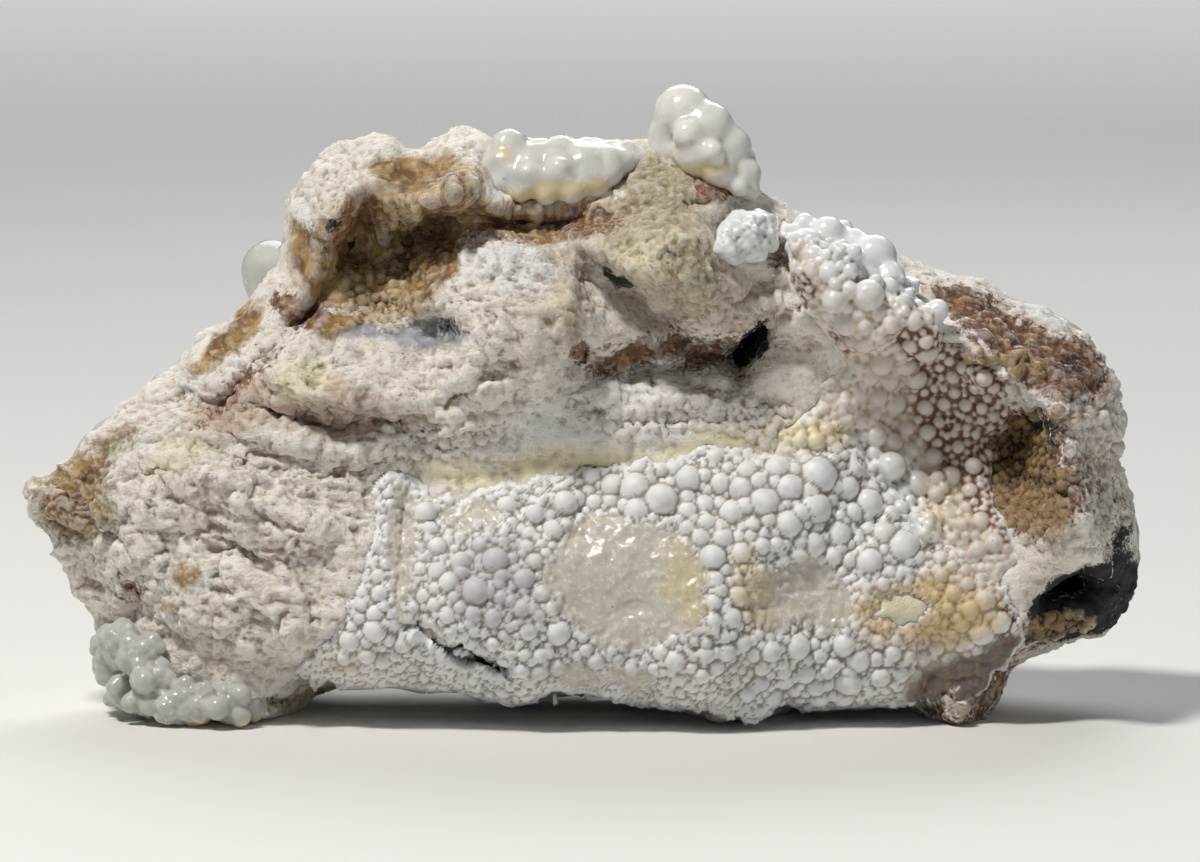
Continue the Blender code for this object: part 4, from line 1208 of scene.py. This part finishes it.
def milkyMaterial():
    look = crustColours
    material, tree, shader = newMaterial("milkyHyalite")
    cloudy = eased(tree, grain(tree, 1.4 * mm, 4.0), 0.42, 0.68, 0.0, 0.7)
    cloudy = mixed(tree, cloudy, look["white"], look["cloud"])
    dome = mixed(tree, brokenMask(tree, "grey", 1.2 * mm, 0.7, 0.35, 1.0), cloudy, look["grey"])
    dome = mixed(tree, brokenMask(tree, "yellow", 0.9 * mm, 0.8, 0.35, 1.1), dome, look["yellow"])
    dome = mixed(tree, brokenMask(tree, "smoke", 0.9 * mm, 0.8, 0.3, 0.9), dome, look["smoke"])
    stained = maths(tree, "MULTIPLY", brokenMask(tree, "tan", 0.8 * mm, 0.9, 0.4, 1.1), 0.35)
    dome = mixed(tree, stained, dome, look["tan"])
    # painted shade in the dips between domes: the shade colour, with tan and brown stains mixed in
    valley = mixed(tree, brokenMask(tree, "tan", 1.0 * mm, 0.6, 0.25, 0.7), look["shade"], look["tan"])
    valley = mixed(tree, brokenMask(tree, "brown", 0.8 * mm, 0.7, 0.35, 0.7), valley, look["brown"])
    sunk = maths(tree, "MULTIPLY", mask(tree, "crevice"), 0.85)
    bareGround = brokenMask(tree, "brown", 0.8 * mm, 0.7, 0.2, 0.7)
    bareGround = maths(tree, "MULTIPLY", mask(tree, "ground"), bareGround)
    base = mixed(tree, maths(tree, "MAXIMUM", sunk, bareGround), dome, valley)
    pane = mixed(tree, brokenMask(tree, "yellow", 1.2 * mm, 1.0, 0.1, 1.1), look["glass"], look["butter"])
    sugar = eased(tree, grain(tree, 0.5 * mm, 5.0, 0.75), 0.52, 0.62, 0.0, 0.6)
    pane = mixed(tree, sugar, pane, look["white"])
    base = mixed(tree, brokenMask(tree, "glass", 0.7 * mm, 0.7, 0.3, 0.8), base, pane)
    base = mixed(tree, eased(tree, mask(tree, "edge"), 0.2, 0.9, 0.0, 0.8), base, look["white"])
    specks = eased(tree, grain(tree, 0.5 * mm, 2.0), 0.73, 0.77, 0.0, 0.7)
    base = mixed(tree, specks, base, look["speck"])
    tree.links.new(base, shader.inputs["Base Color"])
    uneven = maths(tree, "MULTIPLY_ADD", grain(tree, 0.8 * mm, 3.0), 0.4, -0.2)
    gloss = maths(tree, "ADD", maths(tree, "MAXIMUM", mask(tree, "wet"), mask(tree, "glass")), uneven)
    tree.links.new(eased(tree, gloss, 0.0, 0.9, 0.50, 0.18), shader.inputs["Roughness"])
    dust = bumped(tree, grain(tree, 0.12 * mm, 4.0, 0.65), 0.35, 0.04 * mm)
    skin = bumped(tree, grain(tree, 0.45 * mm, 3.0, 0.6), 0.3, 0.08 * mm, dust)
    tree.links.new(skin, shader.inputs["Normal"])
    shader.inputs["Subsurface Weight"].default_value = 0.3
    shader.inputs["Subsurface Radius"].default_value = (1.0, 0.85, 0.65)
    shader.inputs["Subsurface Scale"].default_value = 0.3 * mm
    shader.inputs["IOR"].default_value = 1.45
    return material


print("front crusts")
milkyHyalite = milkyMaterial()
for pieceName, region, (points, quads) in [
    ("lowerFieldCrust", "lowerField", makeLowerField()),
    ("valleyCrust", "valley", makeBallCrust("valley", **ballCrusts["valley"])),
    ("whiteLumps", "whiteLumps", makeBallCrust("whiteLumps", **ballCrusts["whiteLumps"])),
]:
    crust = pieceFrom(pieceName, points, quads, milkyHyalite, crustMasks(points, quads, region))
    settle(crust, "hyalite_front_crust")

# the clearer growth over the back and along the rim
backForm = {
    "turn": 0.12, "wander": 0.35, "frontLimit": 1.5 * mm, "wanderDepth": 4.0 * mm, "wanderLength": 7.0 * mm,
    "lowest": 2.8 * mm, "skin": 0.55 * mm, "sink": 0.4 * mm,
    "radiusPx": 54.0, "smallPx": 9.0, "buried": 0.55, "rimReach": 0.4 * mm, "voxel": 0.41 * mm,
    "warmSpots": [(100, 440, 40, 30, 0, 0.4), (230, 470, 120, 90, 20, 0.8), (420, 620, 190, 50, 0, 0.9),
                  (640, 380, 170, 70, -20, 0.7), (900, 560, 150, 80, 10, 0.8), (980, 360, 110, 44, 26, 0.7),
                  (420, 230, 90, 50, 0, 0.6)],
    "rimBalls": [
        (266, 272, 34, 4.4), (256, 286, 20, 3.6), (290, 286, 34, 6.5), (1120, 424, 20, 3.4),
        (1098, 430, 30, 6.0), (1112, 384, 16, 3.4), (1090, 392, 28, 6.0), (152, 386, 13, 2.2),
        (166, 400, 20, 4.0), (96, 434, 12, 1.2), (114, 446, 20, 3.6), (72, 458, 11, 1.0), (60, 470, 9, 0.6),
        (200, 352, 14, 3.0), (218, 364, 22, 5.0), (128, 404, 9, 0.8), (108, 418, 8, 0.6), (140, 394, 7, 0.6),
    ],
}
clearColours = {
    "milk": (0.82, 0.81, 0.775), "clear": (0.62, 0.625, 0.59), "warm": (0.80, 0.69, 0.45),
    "shade": (0.50, 0.43, 0.31),
    "speck": (0.14, 0.11, 0.08),
}
clearFinish = {
    "backCrust": {"milkShare": 0.05, "transmission": 0.15},
    "summitKnob": {"milkShare": 0.4, "transmission": 0.05},
    "summitLedge": {"milkShare": 0.3, "transmission": 0.15},
    "footCluster": {"milkShare": 0.05, "transmission": 0.25},
}


def clearMaterial(name, milkShare, transmission):
    look = clearColours
    material, tree, shader = newMaterial(name)
    cloud = maths(tree, "ADD", grain(tree, 2.4 * mm, 5.0), milkShare)
    base = mixed(tree, eased(tree, cloud, 0.45, 0.95), look["clear"], look["milk"])
    base = mixed(tree, brokenMask(tree, "tan", 1.2 * mm, 0.7, 0.3, 0.9), base, look["warm"])
    # painted shade in the crevices between lumps
    base = mixed(tree, maths(tree, "MULTIPLY", mask(tree, "crevice"), 0.7), base, look["shade"])
    base = mixed(tree, eased(tree, grain(tree, 0.5 * mm, 2.0), 0.74, 0.78, 0.0, 0.6), base, look["speck"])
    tree.links.new(base, shader.inputs["Base Color"])
    tree.links.new(eased(tree, grain(tree, 1.5 * mm), 0.3, 0.7, 0.10, 0.30), shader.inputs["Roughness"])
    tree.links.new(bumped(tree, grain(tree, 0.5 * mm, 4.0), 0.25, 0.06 * mm), shader.inputs["Normal"])
    shader.inputs["Transmission Weight"].default_value = transmission
    shader.inputs["IOR"].default_value = 1.45
    shader.inputs["Subsurface Weight"].default_value = 0.5
    shader.inputs["Subsurface Radius"].default_value = (0.95, 1.0, 0.9)
    shader.inputs["Subsurface Scale"].default_value = 0.8 * mm
    return material


def lumpMasks(points, quads, warmSpots):
    px, py = wanderingPixels(*pixelsOf(points[:, 0], points[:, 2]), 89)
    # painted shade where the lumps dip
    crevice = smoothBetween(sunkenness(points, quads, 4), 0.0, 0.08 * mm)
    return {"crevice": crevice, "tan": patches(px, py, warmSpots)}


def ballsInMetres(lumps):
    rows = np.array(lumps, float)
    x, z = toPlane(rows[:, 0], rows[:, 1])
    radius = rows[:, 2] * layout["pixel"]
    return np.column_stack([x, rows[:, 3] * mm, np.maximum(z, radius + 0.3 * mm), radius]).tolist()


def makeBackCrust():
    form = backForm
    random = np.random.default_rng(211)
    normals = softNormals(stonePoints, stoneQuads, 5)
    wander = 0.6 * roughNoise(stonePoints, form["wanderLength"], 217, 3)
    keep = (
        (normals[:, 1] > form["turn"] + form["wander"] * wander)
        & (stonePoints[:, 1] > form["frontLimit"] + form["wanderDepth"] * wander)
        & (stonePoints[:, 2] > form["lowest"])
    )
    inside = signedDistance(stonePoints[:, [0, 2]], metreOutline(stoneOutline))
    share = smoothBetween(inside, 0, 10 * mm)
    sizes = (form["smallPx"] + (form["radiusPx"] - form["smallPx"]) * share) * layout["pixel"]
    sizes = np.minimum(sizes, np.maximum(inside, 0) * 0.8 + form["rimReach"])
    tree = placeTree(stonePoints)
    large = scatterDomes(tree, stonePoints, normals, sizes, keep, 0.85, random)
    taken = [(place, r) for place, _, r in large]
    small = scatterDomes(tree, stonePoints, normals, sizes * 0.5, keep, 0.8, random, taken)
    skin = np.full(len(stonePoints), form["skin"])
    shell = shellOver(stonePoints, stoneQuads, normals, keep, skin, form["sink"])
    balls = []
    for place, direction, r in large + small:
        balls.append((*(place + direction * (form["skin"] - form["buried"] * r)), r))
    return fusedBalls(balls + ballsInMetres(form["rimBalls"]), form["voxel"], 4, shell)


print("back crust")
points, quads = makeBackCrust()
clearHyalite = clearMaterial("clearHyalite", **clearFinish["backCrust"])
backMasks = lumpMasks(points, quads, backForm["warmSpots"])
backCrust = pieceFrom("backCrust", points, quads, clearHyalite, backMasks)
settle(backCrust, "hyalite_back_crust")

# lumps placed one by one: x, y and radius in pixels, depth in millimetres
summitBalls = {
    "knob": [(683, 109, 31, -1.2), (707, 122, 28, -2.2), (666, 128, 20, -1.2), (728, 142, 25, -2.0),
             (742, 168, 20, -2.4), (750, 184, 11, -3.2), (698, 146, 25, -3.2), (718, 164, 19, -3.8),
             (684, 114, 27, 1.4), (712, 130, 26, 1.4), (736, 158, 22, 1.0), (668, 144, 21, -1.2),
             (688, 128, 17, -4.0), (712, 144, 13, -4.8), (738, 180, 11, -4.2)],
    "ledge": [(508, 143, 22, -2.4), (536, 152, 18, -3.0), (560, 147, 20, -2.6), (586, 147, 18, -2.2),
              (608, 150, 16, -2.4), (628, 146, 14, -1.8), (492, 156, 14, -2.8), (640, 152, 12, -2.2),
              (514, 150, 21, 0.0), (540, 152, 21, -0.2), (566, 151, 21, -0.2), (592, 151, 20, 0.0),
              (616, 150, 17, 0.2), (516, 154, 19, 2.0), (546, 154, 19, 2.0), (576, 154, 19, 2.0),
              (604, 152, 17, 2.0), (504, 158, 21, -3.2), (530, 160, 22, -3.4), (556, 158, 23, -3.4),
              (582, 158, 23, -3.4), (606, 156, 20, -3.2), (622, 156, 16, -2.8), (488, 166, 13, -3.4),
              (512, 170, 18, -4.0), (536, 172, 19, -4.3), (562, 173, 19, -4.4), (588, 170, 19, -4.3),
              (608, 164, 16, -4.0), (520, 182, 13, -4.8), (546, 185, 13, -5.0), (572, 184, 13, -5.0),
              (596, 178, 13, -4.7), (500, 174, 12, -4.3), (558, 162, 15, -4.9), (528, 164, 12, -5.0)],
}
footBalls = [
    (120, 638, 22, -6.0), (140, 646, 20, -8.6), (108, 662, 18, -4.5), (124, 682, 17, -7.0),
    (150, 684, 17, -9.5), (138, 700, 14, -6.5), (174, 692, 15, -10.6), (172, 708, 12, -8.0),
    (200, 694, 17, -11.0), (230, 688, 19, -10.6), (214, 708, 14, -8.5), (250, 694, 15, -9.2),
    (158, 666, 15, -9.6), (186, 676, 12, -10.4), (98, 646, 13, -2.5), (258, 708, 10, -7.0),
    (104, 632, 9, -4.0), (128, 624, 9, -7.0), (154, 634, 10, -8.6), (142, 664, 10, -10.6),
    (114, 676, 8, -8.4), (132, 692, 8, -9.4), (164, 700, 8, -10.8), (188, 708, 9, -10.4),
    (216, 690, 9, -12.4), (240, 700, 9, -11.4), (206, 674, 8, -11.6), (244, 678, 8, -11.4),
    (110, 694, 8, -5.4), (152, 712, 7, -8.4), (232, 712, 8, -9.4), (270, 700, 7, -8.0),
]


# a lump of fused balls, grown over with small domes
def makeGrapes(balls, voxel, domePx, seed):
    points, quads = fusedBalls(ballsInMetres(balls), 0.3 * mm, 2)
    normals = softNormals(points, quads, 2)
    radius = np.full(len(points), domePx * layout["pixel"])
    everywhere = np.ones(len(points), bool)
    random = np.random.default_rng(seed)
    domes = packedDomes(placeTree(points), points, normals, radius, everywhere, 0.85, random)
    small = [(*(place - direction * r * 0.35), r) for place, direction, r in domes]
    points, quads = fusedBalls(small, voxel, 1, (points, quads))
    points[:, 2] = np.maximum(points[:, 2], 0.1 * mm)
    return points, quads


# a smooth lump of fused balls
def makeLump(balls, voxel, rounds, wobble, seed):
    points, quads = fusedBalls(ballsInMetres(balls), voxel, rounds, None, 4)
    lift = wobble * roughNoise(points, 1.5 * mm, seed, 3)
    points = points + softNormals(points, quads, 2) * lift[:, None]
    points[:, 2] = np.maximum(points[:, 2], 0.1 * mm)
    return points, quads


print("summit and foot")
glassyWarmth = [(690, 168, 60, 14, 0, 0.8), (660, 160, 20, 20, 0, 0.6), (556, 186, 90, 11, 0, 1.0),
                (500, 140, 14, 12, 0, 0.7), (200, 716, 90, 12, 0, 1.0)]
summitForms = {
    "summitKnob": {
        "balls": summitBalls["knob"], "voxel": 0.17 * mm, "rounds": 10, "wobble": 0.06 * mm, "seed": 301,
    },
    "summitLedge": {
        "balls": summitBalls["ledge"], "voxel": 0.18 * mm, "rounds": 9, "wobble": 0.08 * mm, "seed": 311,
    },
}
footForm = {"balls": footBalls, "voxel": 0.14 * mm, "domePx": 9.0, "seed": 321}


def settleLump(name, shape, node):
    points, quads = shape
    material = clearMaterial(name + "Hyalite", **clearFinish[name])
    lump = pieceFrom(name, points, quads, material, lumpMasks(points, quads, glassyWarmth))
    settle(lump, node)


for pieceName, form in summitForms.items():
    settleLump(pieceName, makeLump(**form), "hyalite_summit")
settleLump("footCluster", makeGrapes(**footForm), "hyalite_foot_cluster")

# floor, light and camera
stageSetup = {
    "floorHalf": 6.0, "floorColour": (0.80, 0.79, 0.77), "floorShade": (0.78, 0.77, 0.75),
    "middle": (0, 0, 0.025), "worldColour": (0.92, 0.93, 0.95, 1), "worldStrength": 0.10,
    "elevation": 6.0, "distance": 0.48, "lens": 180.0,
    "target": (1.25 * mm, -6.0 * mm, 23.2 * mm),
}
# metres and watts; a light without a target points at the middle of the stone
stageLights = {
    "keyLight": {"place": (-0.20, -0.19, 0.53), "size": 0.10, "watts": 2.8, "tint": (1.0, 0.97, 0.93)},
    "fillLight": {"place": (0.45, -0.45, 0.25), "size": 0.4, "watts": 0.22, "tint": (0.95, 0.97, 1.0)},
    "backLight": {"place": (0.15, 0.5, 0.45), "size": 0.3, "watts": 0.5},
    "sweepLight": {"place": (0, 2.0, 1.6), "target": (0, 1.8, 0), "size": 2.0, "watts": 26},
}


def makeFloor():
    half = stageSetup["floorHalf"]
    mesh = bpy.data.meshes.new("floor")
    corners = [(-half, -half, 0), (half, -half, 0), (half, half, 0), (-half, half, 0)]
    mesh.from_pydata(corners, [], [(0, 1, 2, 3)])
    material, tree, shader = newMaterial("paleFloor")
    tint = mixed(tree, grain(tree, 0.3, 2.0), stageSetup["floorColour"], stageSetup["floorShade"])
    tree.links.new(tint, shader.inputs["Base Color"])
    shader.inputs["Roughness"].default_value = 0.8
    mesh.materials.append(material)
    floor = bpy.data.objects.new("floor", mesh)
    bpy.context.scene.collection.objects.link(floor)


def addLight(name, place, size, watts, target=stageSetup["middle"], tint=(1, 1, 1)):
    light = bpy.data.lights.new(name, "AREA")
    light.shape = "DISK"
    light.size = size
    light.energy = watts
    light.color = tint
    lamp = bpy.data.objects.new(name, light)
    lamp.location = place
    lamp.rotation_euler = (Vector(target) - Vector(place)).to_track_quat("-Z", "Y").to_euler()
    bpy.context.scene.collection.objects.link(lamp)


def makeStudio():
    makeFloor()
    for name, light in stageLights.items():
        addLight(name, **light)
    world = bpy.data.worlds.new("studio")
    world.use_nodes = True
    background = world.node_tree.nodes["Background"]
    background.inputs["Color"].default_value = stageSetup["worldColour"]
    background.inputs["Strength"].default_value = stageSetup["worldStrength"]
    bpy.context.scene.world = world
    bpy.context.scene.view_settings.view_transform = "Standard"
    camera = bpy.data.cameras.new("camera")
    camera.lens = stageSetup["lens"]
    camera.sensor_width = 36
    camera.clip_start = 0.01
    camera.clip_end = 20
    eye = bpy.data.objects.new("camera", camera)
    tilt = math.radians(stageSetup["elevation"])
    target = Vector(stageSetup["target"])
    back = Vector((0, -math.cos(tilt), math.sin(tilt)))
    eye.location = target + back * stageSetup["distance"]
    eye.rotation_euler = (-back).to_track_quat("-Z", "Y").to_euler()
    bpy.context.scene.collection.objects.link(eye)
    bpy.context.scene.camera = eye


print("studio")
makeStudio()
